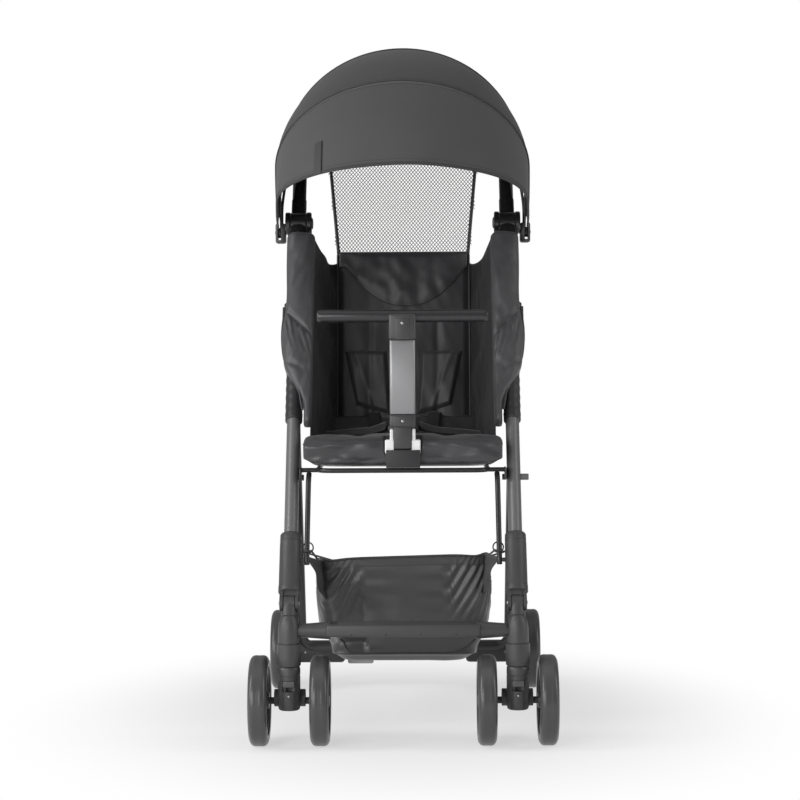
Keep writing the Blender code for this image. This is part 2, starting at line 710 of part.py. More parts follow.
def add_handle(materials):
    """Make the push handle, its foam grip and the release buttons in the shoulders."""
    axis_y = leg_point(1, SHOULDER_Z).y
    top_y = axis_y + (HANDLE_Z - SHOULDER_Z) * math.tan(HANDLE_LEAN)
    fold = new_joint("handle_axis", (0.0, axis_y, SHOULDER_Z))
    along = Vector((0.0, math.sin(HANDLE_LEAN), math.cos(HANDLE_LEAN)))
    feet = [Vector((side * LEG_X, axis_y, SHOULDER_Z)) for word, side in SIDES]
    tops = [Vector((side * LEG_X, top_y, HANDLE_Z)) for word, side in SIDES]
    path = rounded_path([feet[0] + along * 0.008, tops[0], tops[1], feet[1] + along * 0.008],
                        HANDLE_BEND, 5)
    handle = pipe("handle_tube", path, HANDLE_RADIUS)
    half = Vector((CHEEK_INNER_X - GAP, 0, 0))
    for foot in feet:
        fuse(handle, rod("knuckle", foot - half, foot + half, HANDLE_KNUCKLE_RADIUS, 16))
        fuse(handle, rod("knuckle_neck", foot + along * 0.005, foot + along * 0.042, 0.0113, 12, 0.0110))
    dress(handle, materials["gloss plastic"], fold)
    ends = [(side * GRIP_HALF, top_y, HANDLE_Z) for word, side in SIDES]
    grip = rod("handle_grip", *ends, GRIP_RADIUS, 20)
    cut(grip, rod("grip_bore", (-0.12, top_y, HANDLE_Z), (0.12, top_y, HANDLE_Z),
                  HANDLE_RADIUS + GAP, 16))
    dress(grip, materials["foam"], fold)
    for (word, side), foot in zip(SIDES, feet):
        face = foot - Vector((side * CHEEK_OUTER_X, 0, 0))
        slide = new_joint(f"release_{word}_slide", face)
        button = turned(f"release_button_{word}", [
            (0.0, 0.0026), (0.0070, 0.0022), (0.0088, 0.0008), (BUTTON_RADIUS, -0.0025), (0.0, -0.0025)],
            face, 12)
        button.rotation_euler = (0.0, -side * math.pi / 2, 0.0)
        dress(button, materials["grey plastic"], slide)
    return fold


# Seat

def soft_form(name, near, far, columns, rows, levels=1):
    """Make a closed soft solid between two surfaces, each a function of (u, v) from -1 to 1."""
    def build(shape):
        sheets = []
        for surface in (near, far):
            sheets.append([[shape.verts.new(surface(2 * column / columns - 1, 2 * row / rows - 1))
                            for column in range(columns + 1)] for row in range(rows + 1)])
        first, second = sheets
        for row in range(rows):
            for column in range(columns):
                corners = ((row, column), (row, column + 1), (row + 1, column + 1), (row + 1, column))
                shape.faces.new([first[r][c] for r, c in corners])
                shape.faces.new([second[r][c] for r, c in reversed(corners)])
        border = ([(0, c) for c in range(columns)] + [(r, columns) for r in range(rows)]
                  + [(rows, c) for c in range(columns, 0, -1)] + [(r, 0) for r in range(rows, 0, -1)])
        for (r, c), (next_r, next_c) in zip(border, border[1:] + border[:1]):
            shape.faces.new((first[r][c], second[r][c], second[next_r][next_c], first[next_r][next_c]))
        bmesh.ops.recalc_face_normals(shape, faces=shape.faces)

    item = mesh_object(name, build)
    smoothing = item.modifiers.new("soft", "SUBSURF")
    smoothing.levels = levels
    smoothing.render_levels = levels
    return item


def add_seat_cushion(materials):
    """Make the seat: a rounded front roll with a notch for the bumper, sagging towards the back."""
    middle = (SEAT_FRONT_Y + SEAT_BACK_Y) / 2
    reach = (SEAT_BACK_Y - SEAT_FRONT_Y) / 2

    def top(u, v):
        crown = 0.0060 * (1 - u * u) * (1 - v * v)
        channel = 0.0030 * math.exp(-((abs(u) - 0.45) / 0.12) ** 2)
        corner = 0.0045 * u ** 4
        return (u * SEAT_HALF, middle + v * reach, SEAT_TOP_Z - 0.007 * (v + 1) + crown - channel - corner)

    def bottom(u, v):
        return (u * (SEAT_HALF - 0.003), middle + v * (reach - 0.004), SEAT_BOTTOM_Z)

    seat = soft_form("seat_cushion", top, bottom, 8, 4)
    notch = block("bumper_notch", (0.0520, 0.0440, 0.0600), (0.0, SEAT_FRONT_Y + 0.0040, 0.4280))
    stem = rod("stem_hole", (0, STEM_HOLE_Y, 0.36), (0, STEM_HOLE_Y, 0.41), 0.0052, 12)
    cut(seat, notch, stem)
    return dress(seat, materials["seat cloth"])


def add_seat_frame(materials):
    """Make the seat's wire frame with the plates that bolt it to the leg tubes."""
    level, half = SEAT_FRAME_Z, SEAT_FRAME_HALF
    path = rounded_path([(-half, 0.058, level), (-half, -0.168, level), (half, -0.168, level),
                         (half, 0.058, level)], 0.020, 3)
    frame = pipe("seat_frame", path, SEAT_WIRE_RADIUS, 1)
    for word, side in SIDES:
        bolt = leg_point(side, FOLD_STUD_Z)
        fuse(frame, rod("plate_arm", (side * half, -0.155, level), (side * 0.1450, -0.155, level), 0.0032, 12))
        plate = block("bolt_plate", (0.0028, 0.0320, 0.0160), (side * 0.1450, bolt.y - 0.0040, 0.3700),
                      0.0010, 1)
        fuse(frame, plate)
    return dress(frame, materials["steel"])


def add_seat_strut(word, side, materials):
    """Make the thin strut from the seat frame down to the knee sleeve's pin."""
    foot = leg_point(side, STRUT_PIN_Z)
    path = [(side * (STRUT_X - 0.0010), -0.1550, 0.3698), (side * (STRUT_X - 0.0008), -0.1660, 0.3600),
            (side * STRUT_X, foot.y - 0.001, foot.z + 0.004), (side * STRUT_X, foot.y - 0.002, foot.z - 0.006)]
    return dress(pipe(f"seat_strut_{word}", path, STRUT_RADIUS), materials["steel"])


def add_side_wing(word, side, materials):
    """Make the padded wing round the leg tube with the side panel that runs back to the backrest."""
    def edges(v):
        z = WING_LOW_Z + (WING_HIGH_Z - WING_LOW_Z) * (v + 1) / 2
        taper = max(0.0, min(1.0, (z - WING_LOW_Z) / 0.070))
        bulge = 0.0030 * math.exp(-((z - 0.560) / 0.030) ** 2)
        return z, WING_INNER_X, 0.1460 + 0.0295 * taper + bulge

    def surface(front):
        def place(u, v):
            z, inner, outer = edges(v)
            behind = -0.0245 + 0.0035 * u * u if front else 0.0040
            point = leg_point(side, z, behind)
            point.x = side * (inner + (outer - inner) * (u + 1) / 2)
            return point
        return place

    wing = soft_form(f"side_wing_{word}", surface(True), surface(False), 4, 5)

    def panel(layer):
        def place(u, v):
            up = (v + 1) / 2
            front = leg_point(side, 0.462 + 0.236 * up, -0.0040)
            rear = Vector((side * PANEL_REAR_X, 0.0925 + 0.0530 * up, 0.4380 + 0.2290 * up))
            front.x = side * PANEL_X
            point = front.lerp(rear, (u + 1) / 2)
            point.z -= 0.010 * (1 - u * u) * up
            point.x += side * layer * 0.0014
            return point
        return place

    fuse(wing, soft_form("side_panel", panel(1), panel(-1), 3, 3))
    shoulder = leg_point(side, SHOULDER_Z)
    socket = rod("socket_room", shoulder - LEG_UP * 0.0600, shoulder, 0.0164, 20)
    cut(wing, leg_oval("tube_tunnel", side, 0.40, 0.75, 0.0008), socket)
    return dress(wing, materials["wing cloth"])


def add_buckle(materials):
    """Make the harness buckle on the seat and its push button."""
    x, y, z = 0.0, BUCKLE_Y, BUCKLE_Z
    buckle = block("harness_buckle", (0.0460, 0.0340, 0.0110), (x, y, z), 0.0035, 2)
    cut(buckle, rod("button_well", (x, y, z + 0.0010), (x, y, z + 0.0100), 0.0094, 14))
    dress(buckle, materials["plastic"])
    slide = new_joint("buckle_button_slide", (x, y, z + 0.0035))
    button = turned("buckle_button", [(0.0, 0.0030), (0.0068, 0.0026), (0.0085, 0.0014), (0.0086, -0.0003),
                                      (0.0, -0.0003)], (x, y, z + 0.0035), 14)
    dress(button, materials["grey plastic"], slide)


# Backrest

def add_backrest(materials):
    """Make the backrest pad, the net above it and the two shoulder pads, on the recline axis."""
    recline = new_joint("recline_axis", (0.0, RECLINE_Y, RECLINE_Z))
    tilt = (-BACK_LEAN, 0.0, 0.0)
    place = (0.0, RECLINE_Y, RECLINE_Z)
    foot = 0.014
    middle, reach = (BACK_LENGTH + foot) / 2, (BACK_LENGTH - foot) / 2
    half_thick = BACK_THICKNESS / 2

    def front(u, v):
        crown = 0.0045 * (1 - u ** 4) * (1 - v ** 4)
        flap = 0.0030 * math.exp(-((v - 0.62 - 0.34 * u * u) / 0.10) ** 2)
        channel = 0.0025 * math.exp(-((abs(u) - 0.50) / 0.12) ** 2) * (1 if v < 0.5 else 0)
        return (u * BACK_HALF, -half_thick - crown + flap + channel, middle + v * reach)

    def back(u, v):
        return (u * (BACK_HALF - 0.002), half_thick, middle + v * (reach - 0.002))

    pad = soft_form("backrest_pad", front, back, 7, 6)
    pad.location = place
    pad.rotation_euler = tilt
    dress(pad, materials["seat cloth"], recline)

    back_top = Matrix.Rotation(-BACK_LEAN, 3, "X") @ Vector((0.0, 0.0, BACK_LENGTH - 0.0022))
    outline = [(-BACK_HALF, 0.0), (BACK_HALF, 0.0), (NET_TOP_HALF, NET_LENGTH), (-NET_TOP_HALF, NET_LENGTH)]
    net = outline_slab("net_window", outline, NET_THICKNESS)
    net.location = Vector(place) + back_top
    net.rotation_euler = (math.pi / 2 - NET_LEAN, 0.0, 0.0)
    inner = [(x - math.copysign(NET_BINDING, x), y + (NET_BINDING if y == 0.0 else -NET_BINDING))
             for x, y in outline]
    for face in (-1, 1):
        recess = outline_slab("net_recess", inner, NET_THICKNESS)
        shift = Vector((0.0, face * (NET_THICKNESS / 2 + 0.0004), 0.0))
        recess.location = net.location + Matrix.Rotation(-NET_LEAN, 3, "X") @ shift
        recess.rotation_euler = net.rotation_euler
        cut(net, recess)
    dress(net, materials["net"], recline)

    for word, side in SIDES:
        shape = [(side * x, z) for x, z in ((0.0880, 0.1290), (0.0580, 0.1300), (0.0560, 0.0320),
                                            (0.0700, 0.0320), (0.0720, 0.0700))]
        pads = outline_slab(f"shoulder_pad_{word}", shape, 0.0090)
        lift = Matrix.Rotation(-BACK_LEAN, 3, "X") @ Vector((0.0, -half_thick - 0.0076, 0.0))
        pads.location = Vector(place) + lift
        pads.rotation_euler = (math.pi / 2 - BACK_LEAN, 0.0, 0.0)
        edge = pads.modifiers.new("soft edge", "BEVEL")
        edge.width = 0.0030
        edge.segments = 2
        dress(pads, materials["seat cloth"], recline)
    return recline


# Bumper

def add_bumper(materials):
    """Make the bumper: nylon socket on the seat, then hinge, post, head and bar that tilt forward."""
    y, z = BUMPER_Y, BUMPER_PIVOT_Z
    socket = block("bumper_socket", (0.0500, 0.0180, 0.0196), (0.0, y, 0.4088), 0.0015, 1)
    for side in (-1, 1):
        fuse(socket, block("ear", (0.0052, 0.0160, 0.0260), (side * 0.0154, y, 0.4208), 0.0012, 1))
    cut(socket, block("tongue_slot", (TONGUE_WIDTH + 0.0008, 0.0400, 0.0400), (0.0, y, 0.4222)))
    fuse(socket, rod("hinge_pin", (-0.0160, y, z), (0.0160, y, z), 0.0022, 12))
    fuse(socket, rod("stem", (0.0, STEM_HOLE_Y, 0.3789), (0.0, STEM_HOLE_Y, 0.4010), 0.0044, 12))
    dress(socket, materials["nylon"])

    tilt = new_joint("bumper_axis", (0.0, y, z))
    hinge = block("bumper_hinge", (0.0370, 0.0250, 0.0185), (0.0, y, 0.4453), 0.0020, 1)
    tongue = block("tongue", (TONGUE_WIDTH, 0.0110, 0.0330), (0.0, y, 0.4215), 0.0030, 2)
    bore = rod("tongue_bore", (-0.03, y, z), (0.03, y, z), 0.0027, 12)
    fuse(hinge, tongue)
    cut(hinge, bore)
    dress(hinge, materials["gloss plastic"], tilt)

    outline = rounded_rectangle(POST_WIDTH, POST_DEPTH, 0.0035)
    post = outline_slab("bumper_post", outline, POST_HIGH_Z - POST_LOW_Z)
    post.location = (0.0, y, (POST_LOW_Z + POST_HIGH_Z) / 2)
    dress(post, materials["post"], tilt)

    head = block("bumper_head", (0.0380, 0.0260, 0.0370), (0.0, y, 0.5774), 0.0030, 1)
    ends = BUMPER_BAR_HALF - 0.010
    level = BUMPER_BAR_Z
    path = rounded_path([(-ends - 0.0080, y + 0.0180, level), (-ends, y, level), (ends, y, level),
                         (ends + 0.0080, y + 0.0180, level)], 0.0120)
    bar = pipe("bumper_bar", path, BUMPER_BAR_RADIUS, 3)
    cut(head, rod("bar_seat", (-0.05, y, level), (0.05, y, level), BUMPER_BAR_RADIUS + GAP, 20))
    dress(head, materials["gloss plastic"], tilt)
    dress(bar, materials["gloss plastic"], tilt)


# Canopy

def hoop_line(angle, height, inset=0.0, foot=0.020, behind=0.0, arch_steps=14):
    """Return the points of a canopy hoop: straight sides and an elliptic arch, leaning by an angle."""
    half = CANOPY_HALF - inset
    rise = height - inset - CANOPY_STRAIGHT
    flat = [(-half, foot), (-half, (foot + CANOPY_STRAIGHT) / 2)]
    for step in range(arch_steps + 1):
        turn = math.pi * step / arch_steps
        flat.append((-half * math.cos(turn), CANOPY_STRAIGHT + rise * math.sin(turn)))
    flat += [(half, (foot + CANOPY_STRAIGHT) / 2), (half, foot)]
    return [Vector((x, CANOPY_Y + behind - radius * math.sin(angle), CANOPY_Z + radius * math.cos(angle)))
            for x, radius in flat]


def cloth_between(name, lines, thickness):
    """Make a cloth panel through rows of points, solid all round."""
    def build(shape):
        rows = [[shape.verts.new(point) for point in line] for line in lines]
        for row, next_row in zip(rows, rows[1:]):
            for place in range(len(row) - 1):
                shape.faces.new((row[place], row[place + 1], next_row[place + 1], next_row[place]))

    item = mesh_object(name, build)
    solid = item.modifiers.new("thickness", "SOLIDIFY")
    solid.thickness = thickness
    solid.offset = 0.0
    solid.use_even_offset = True
    return item


def add_canopy(materials):
    """Make the canopy: clamps, fixed rear hoop, turning front hoop and visor, and the panels."""
    fold = new_joint("canopy_axis", (0.0, CANOPY_Y, CANOPY_Z))
    for word, side in SIDES:
        clamp = block(f"canopy_clamp_{word}", (0.0151, 0.0290, 0.0300),
                      (side * CLAMP_X, CANOPY_Y, CANOPY_Z - 0.0010), 0.0030, 2)
        slot = block("hoop_slot", (0.0052, 0.0400, 0.0360), (side * 0.1864, CANOPY_Y, CANOPY_Z + 0.0070))
        pin = rod("clamp_pin", (side * 0.1820, CANOPY_Y, CANOPY_Z), (side * 0.1905, CANOPY_Y, CANOPY_Z),
                  0.0024, 12)
        cut(clamp, slot)
        fuse(clamp, pin)
        dress(clamp, materials["plastic"])

    front_line = hoop_line(FRONT_HOOP_ANGLE, FRONT_HOOP_HEIGHT, HOOP_INSET, 0.0060)
    front_hoop = pipe("canopy_front_hoop", front_line, HOOP_RADIUS, 1)
    for word, side in SIDES:
        low, high = side * HOOP_EYE_LOW_X, side * HOOP_EYE_HIGH_X
        fuse(front_hoop, rod("hoop_eye", (low, CANOPY_Y, CANOPY_Z), (high, CANOPY_Y, CANOPY_Z), 0.0078, 12))
        cut(front_hoop, rod("eye_bore", (side * 0.17, CANOPY_Y, CANOPY_Z), (side * 0.20, CANOPY_Y, CANOPY_Z),
                            0.0029, 12))
    dress(front_hoop, materials["plastic"], fold)

    rear_line = hoop_line(REAR_HOOP_ANGLE, REAR_HOOP_HEIGHT, HOOP_INSET, -0.0060, REAR_HOOP_OFFSET)
    dress(pipe("canopy_rear_hoop", rear_line, HOOP_RADIUS, 1), materials["plastic"])

    visor_lines = []
    rows = 4
    for row in range(rows + 1):
        part = row / rows
        angle = FRONT_HOOP_ANGLE + math.radians(0.25) + (VISOR_ANGLE - FRONT_HOOP_ANGLE) * part
        height = FRONT_HOOP_HEIGHT + (VISOR_HEIGHT - FRONT_HOOP_HEIGHT) * part
        visor_lines.append(hoop_line(angle, height, 0.0, CLOTH_FOOT))
    dress(cloth_between("canopy_visor", visor_lines, CANOPY_CLOTH), materials["canopy cloth"], fold)

    top_lines = []
    rows = 5
    for row in range(rows + 1):
        part = row / rows
        angle = REAR_HOOP_ANGLE + (FRONT_HOOP_ANGLE - math.radians(0.25) - REAR_HOOP_ANGLE) * part
        height = REAR_HOOP_HEIGHT + (FRONT_HOOP_HEIGHT - REAR_HOOP_HEIGHT) * part
        top_lines.append(hoop_line(angle, height, 0.0, CLOTH_FOOT, REAR_HOOP_OFFSET * (1 - part)))
    dress(cloth_between("canopy_top", top_lines, CANOPY_CLOTH), materials["canopy cloth"])

    net_top = Vector((0.0, RECLINE_Y, RECLINE_Z)) + Matrix.Rotation(-BACK_LEAN, 3, "X") @ Vector(
        (0.0, 0.0, BACK_LENGTH)) + Matrix.Rotation(-NET_LEAN, 3, "X") @ Vector(
        (0.0, 0.0, NET_LENGTH - 0.0004))
    arch = hoop_line(REAR_HOOP_ANGLE - math.radians(0.5), REAR_HOOP_HEIGHT, 0.0, CLOTH_FOOT, REAR_HOOP_OFFSET)
    arch = [point for point in arch if abs(point.x) < BACK_ARCH_HALF]
    drop_lines = []
    rows = 4
    for row in range(rows + 1):
        part = row / rows
        line = []
        for point in arch:
            low = Vector((point.x / BACK_ARCH_HALF * NET_TOP_HALF, net_top.y, net_top.z))
            line.append(point.lerp(low, part))
        drop_lines.append(line)
    dress(cloth_between("canopy_back", drop_lines, CANOPY_CLOTH), materials["canopy cloth"])


# Basket

def add_basket(materials):
    """Make the open basket: a sagging cloth bag with upright front and back walls."""
    middle = (BASKET_FRONT_Y + BASKET_BACK_Y) / 2
    reach = (BASKET_BACK_Y - BASKET_FRONT_Y) / 2
    levels = ((0.0, 1.0), (0.25, 0.995), (0.55, 0.975), (0.80, 0.935), (0.93, 0.86), (1.0, 0.70), (1.0, 0.36))
    steps = 28

    def build(shape):
        rings = []
        for depth, scale in levels:
            ring = []
            for step in range(steps):
                turn = 2 * math.pi * step / steps
                across = math.copysign(abs(math.cos(turn)) ** 0.42, math.cos(turn))
                along = math.copysign(abs(math.sin(turn)) ** 0.42, math.sin(turn))
                fold = 1.0 - 0.010 * math.sin(6 * turn) ** 2 * depth
                z = BASKET_TOP_Z + (BASKET_BOTTOM_Z - BASKET_TOP_Z) * depth
                z -= 0.004 * (1.0 - scale) * 2
                ring.append(shape.verts.new((across * BASKET_HALF * scale * fold,
                                             middle + along * reach * scale * fold, z)))
            rings.append(ring)
        for ring, next_ring in zip(rings, rings[1:]):
            for step in range(steps):
                after = (step + 1) % steps
                shape.faces.new((ring[step], next_ring[step], next_ring[after], ring[after]))
        shape.faces.new(rings[-1])
        bmesh.ops.recalc_face_normals(shape, faces=shape.faces)

    basket = mesh_object("basket", build)
    walls = basket.modifiers.new("walls", "SOLIDIFY")
    walls.thickness = BASKET_CLOTH
    walls.offset = -1.0
    for word, side in SIDES:
        for corner_y, hook in ((-1, strut_hook(side)), (1, rear_leg_hook(side))):
            corner = Vector((side * CORD_CORNER_X, middle + corner_y * CORD_CORNER_Y, BASKET_TOP_Z - 0.0020))
            fuse(basket, pipe("basket_cord", [corner, *hook], BASKET_CORD, 1))
    return dress(basket, materials["basket cloth"])


def hook_round(centre, side, reach, front):
    """Return the points of a hook that passes a bar on its inner side and ends beyond it."""
    return [centre + Vector((-side * reach * math.cos(turn), front * reach * math.sin(turn), 0.0))
            for turn in (math.radians(angle) for angle in (-20, 10, 50, 90, 130))]


def strut_hook(side):
    """Return the front cord's hook round the foot of the seat strut."""
    x, y, z = STRUT_HOOK
    return hook_round(Vector((side * x, y, z)), side, 0.0064, -1)


def rear_leg_hook(side):
    """Return the rear cord's hook behind the rear leg, which swings forward out of it."""
    slope = (REAR_AXLE_Y - REAR_PIVOT_Y) / (REAR_PIVOT_Z - BEAM_Z)
    centre = Vector((side * REAR_LEG_X, REAR_PIVOT_Y + (REAR_PIVOT_Z - CORD_HOOK_Z) * slope, CORD_HOOK_Z))
    return hook_round(centre, side, 0.0107, 1)


def make_materials():
    """Return the materials by the name of what they cover."""
    looks = {
        "leg tube": ((0.13, 0.13, 0.14), 0.38, 0.6),
        "rear tube": ((0.06, 0.06, 0.065), 0.40, 0.3),
        "plastic": ((0.035, 0.035, 0.038), 0.50, 0.0),
        "gloss plastic": ((0.020, 0.020, 0.022), 0.20, 0.0),
        "grey plastic": ((0.11, 0.11, 0.12), 0.45, 0.0),
        "tyre": ((0.045, 0.045, 0.048), 0.42, 0.0),
        "rim": ((0.050, 0.050, 0.053), 0.40, 0.0),
        "pedal": ((0.42, 0.42, 0.43), 0.50, 0.0),
        "foam": ((0.020, 0.020, 0.021), 0.90, 0.0),
        "steel": ((0.050, 0.050, 0.055), 0.38, 0.8),
        "post": ((0.30, 0.30, 0.31), 0.30, 0.85),
        "nylon": ((0.85, 0.85, 0.84), 0.45, 0.0),
        "canopy cloth": ((0.055, 0.055, 0.058), 0.85, 0.0),
        "wing cloth": ((0.060, 0.060, 0.064), 0.80, 0.0),
        "seat cloth": ((0.028, 0.028, 0.031), 0.55, 0.0),
        "basket cloth": ((0.040, 0.040, 0.043), 0.60, 0.0),
        "net": ((0.040, 0.040, 0.042), 0.80, 0.0),
    }
    return {name: make_material(name, *look) for name, look in looks.items()}


def main():
    """Build the stroller."""
    clear_scene()
    materials = make_materials()
    meshes = (make_tyre_mesh(), make_rim_mesh())
    knee = new_joint("knee_axis", (0.0, leg_point(1, KNEE_Z).y, KNEE_Z))
    fold = new_joint("rear_leg_axis", (0.0, REAR_PIVOT_Y, REAR_PIVOT_Z))
    add_footrest(knee, materials)
    for word, side in SIDES:
        add_leg_tube(word, side, materials)
        add_knee_sleeve(word, side, materials)
        add_shoulder(word, side, materials)
        add_rear_bracket(word, side, materials)
        add_lower_leg(word, side, knee, materials)
        swivel = add_caster(word, side, knee, materials)
        for where, offset in (("outer", side), ("inner", -side)):
            place = (side * LEG_X + offset * TWIN_SPACING / 2, FRONT_AXLE_Y, AXLE_Z)
            add_wheel(f"front_{word}_{where}", place, offset, meshes, materials, swivel)
        add_rear_leg(word, side, fold, materials)
        add_wheel(f"rear_{word}", (side * REAR_TRACK / 2, REAR_AXLE_Y, AXLE_Z), side, meshes, materials, fold)
        add_seat_strut(word, side, materials)
        add_side_wing(word, side, materials)
    add_axle_beam(fold, materials)
    add_brake_pedal(fold, materials)
    add_handle(materials)
    add_seat_frame(materials)
    add_seat_cushion(materials)
    add_buckle(materials)
    add_backrest(materials)
    add_bumper(materials)
    add_canopy(materials)
    add_basket(materials)


main()
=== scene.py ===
"""Looks of a lightweight folding stroller: its cloth, pads, net, wheels and finishes, round a fixed frame."""

import logging
from collections.abc import Callable, Iterator, Sequence
from contextlib import contextmanager
from dataclasses import dataclass
from enum import Enum
from math import copysign, cos, exp, pi, radians, sin, sqrt, tan, tau

import bmesh
import bpy
import numpy as np
from mathutils import Matrix, Vector, noise


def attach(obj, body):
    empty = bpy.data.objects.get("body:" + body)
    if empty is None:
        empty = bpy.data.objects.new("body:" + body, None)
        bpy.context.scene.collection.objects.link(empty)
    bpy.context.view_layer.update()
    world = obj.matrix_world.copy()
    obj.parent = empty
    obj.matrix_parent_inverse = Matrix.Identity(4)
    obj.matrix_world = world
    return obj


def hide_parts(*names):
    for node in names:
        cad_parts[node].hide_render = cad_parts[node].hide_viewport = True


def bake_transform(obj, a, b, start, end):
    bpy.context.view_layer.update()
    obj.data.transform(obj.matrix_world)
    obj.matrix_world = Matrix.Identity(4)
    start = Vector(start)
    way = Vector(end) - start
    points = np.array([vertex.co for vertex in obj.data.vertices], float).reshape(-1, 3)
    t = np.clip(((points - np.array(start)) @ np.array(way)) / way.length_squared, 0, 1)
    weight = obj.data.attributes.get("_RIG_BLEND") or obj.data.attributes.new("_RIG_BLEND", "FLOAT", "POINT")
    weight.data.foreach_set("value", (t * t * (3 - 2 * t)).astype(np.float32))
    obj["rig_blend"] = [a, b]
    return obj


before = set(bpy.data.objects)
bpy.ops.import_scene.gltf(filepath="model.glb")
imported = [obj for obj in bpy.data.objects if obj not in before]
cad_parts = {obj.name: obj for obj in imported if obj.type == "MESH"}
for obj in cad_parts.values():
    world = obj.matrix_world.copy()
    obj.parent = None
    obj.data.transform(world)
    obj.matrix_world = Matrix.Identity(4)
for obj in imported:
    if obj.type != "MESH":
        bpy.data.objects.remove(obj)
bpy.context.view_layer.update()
LOG = logging.getLogger("stroller")

Colour = Point = tuple[float, float, float]
Surface = Callable[[float, float], Vector]
Piece = bpy.types.Object
Socket = bpy.types.NodeSocket

SIDES = (("left", -1), ("right", 1))
X_AXIS = Vector((1.0, 0.0, 0.0))
Z_AXIS = Vector((0.0, 0.0, 1.0))
FORWARD = Vector((0.0, -1.0, 0.0))
LEG_X = 0.157
LEG_LEAN = radians(29.5)
LEG_TURN = Matrix.Rotation(-LEG_LEAN, 3, "X")
LEG_FOOT = (-0.253, 0.18)
LEG_UP = Vector((0.0, sin(LEG_LEAN), cos(LEG_LEAN)))
LEG_BACK = Vector((0.0, cos(LEG_LEAN), -sin(LEG_LEAN)))
KNEE_Z = 0.197
STRUT_LUG_Z = 0.253
SEAT_BOLT_Z = 0.364
STEM_Y = -0.259
FRONT_AXLE_Y = -0.241
REAR_AXLE_Y = 0.241
AXLE_Z = 0.061965
BEAM_Z = 0.0644
REAR_PIVOT = (0.165, 0.016, 0.585)
CANOPY_AXIS = (0.071, 0.7195)
FOOTREST_RIBS = (-0.075, -0.025, 0.025, 0.075)


def at(x: float, y: float, z: float) -> Vector:
    """Return a point or a direction of the object's frame."""
    return Vector((x, y, z))


def leg_point(side: int, z: float, behind: float = 0.0, x: float = LEG_X) -> Vector:
    """Return a point of the leg tube's centre line, or beside it.

    Args:
        side: -1 for the left leg, 1 for the right one.
        z: height of the point.
        behind: distance square to the leg, towards its back.
        x: distance from the object's middle.

    Returns:
        The point in the object's frame.
    """
    y = LEG_FOOT[0] + (z - LEG_FOOT[1]) * tan(LEG_LEAN)
    point = at(side * LEG_X, y, z) + LEG_BACK * behind
    point.x = side * x
    return point


def smooth(low: float, high: float, value: float) -> float:
    """Return 0 below low and 1 above high, with an even turn between."""
    share = min(1.0, max(0.0, (value - low) / (high - low)))
    return share * share * (3.0 - 2.0 * share)


def ridge(value: float, centre: float, width: float) -> float:
    """Return a bell of height 1 about a centre."""
    return exp(-((value - centre) / width) ** 2)


def crease(point: Sequence[float], scale: float, seed: float) -> float:
    """Return soft cloth wrinkles, about -1 to 1, at a place."""
    return noise.noise(Vector(point) * scale + at(seed, -seed, seed * 0.5))


def signed_power(value: float, exponent: float) -> float:
    """Raise a sine or cosine to a power and keep its sign, for rounded squares."""
    return copysign(abs(value) ** exponent, value)


def arc(share: float) -> float:
    """Return a half wave: 0 at the shares 0 and 1, and 1 midway."""
    return sin(pi * share)


class Nodes:
    """A node tree under construction, with short calls for nodes and links."""

    def __init__(self, tree: bpy.types.NodeTree) -> None:
        """Keep the tree."""
        self.tree = tree

    def add(self, kind: str, values: dict | None = None, **settings: object) -> bpy.types.Node:
        """Add a node.

        Args:
            kind: the node's type name.
            values: socket name or number to a value, or to a socket that feeds it.
            **settings: properties of the node itself.

        Returns:
            The new node.
        """
        node = self.tree.nodes.new(kind)
        for name, value in settings.items():
            setattr(node, name, value)
        self.feed(node, values or {})
        return node

    def feed(self, node: bpy.types.Node, values: dict) -> None:
        """Set a node's inputs to values, or to sockets that feed them.

        Args:
            node: the node.
            values: value or socket for each input.
        """
        for name, value in values.items():
            if isinstance(value, Socket):
                self.tree.links.new(value, node.inputs[name])
            else:
                node.inputs[name].default_value = value

    def maths(self, operation: str, first: object, second: object = 0.0) -> Socket:
        """Add a Math node and return its output."""
        return self.add("ShaderNodeMath", {0: first, 1: second}, operation=operation).outputs[0]

    def times(self, first: object, second: object) -> Socket:
        """Multiply two values."""
        return self.maths("MULTIPLY", first, second)

    def plus(self, first: object, second: object) -> Socket:
        """Add two values."""
        return self.maths("ADD", first, second)

    def noise(self, place: Socket, scale: object, detail: float) -> Socket:
        """Add a noise texture and return its value."""
        return self.add("ShaderNodeTexNoise", {"Vector": place, "Scale": scale, "Detail": detail}).outputs["Fac"]

    def swing(self, value: Socket, strength: Socket) -> Socket:
        """Turn a value about 0.5 into a shade about 1."""
        return self.plus(self.times(self.times(self.maths("SUBTRACT", value, 0.5), strength), 2.0), 1.0)

    def group(self, name: str, wire: Callable[["Nodes", dict], dict], inputs: dict) -> dict[str, Socket]:
        """Use a shared shader node group, made at its first use.

        Args:
            name: the group's name.
            wire: links the group's inner nodes, from its inputs to its plain number outputs.
            inputs: socket name to socket type and to the value or socket that feeds it here.

        Returns:
            The outputs by name.
        """
        tree = bpy.data.node_groups.get(name)
        if tree is None:
            tree = bpy.data.node_groups.new(name, "ShaderNodeTree")
            for label, (kind, _) in inputs.items():
                tree.interface.new_socket(label, in_out="INPUT", socket_type="NodeSocket" + kind)
            inner = Nodes(tree)
            outputs = wire(inner, inner.add("NodeGroupInput").outputs)
            for label in outputs:
                tree.interface.new_socket(label, in_out="OUTPUT", socket_type="NodeSocketFloat")
            inner.add("NodeGroupOutput", outputs)
        values = {label: value for label, (_, value) in inputs.items()}
        return self.add("ShaderNodeGroup", values, node_tree=tree).outputs


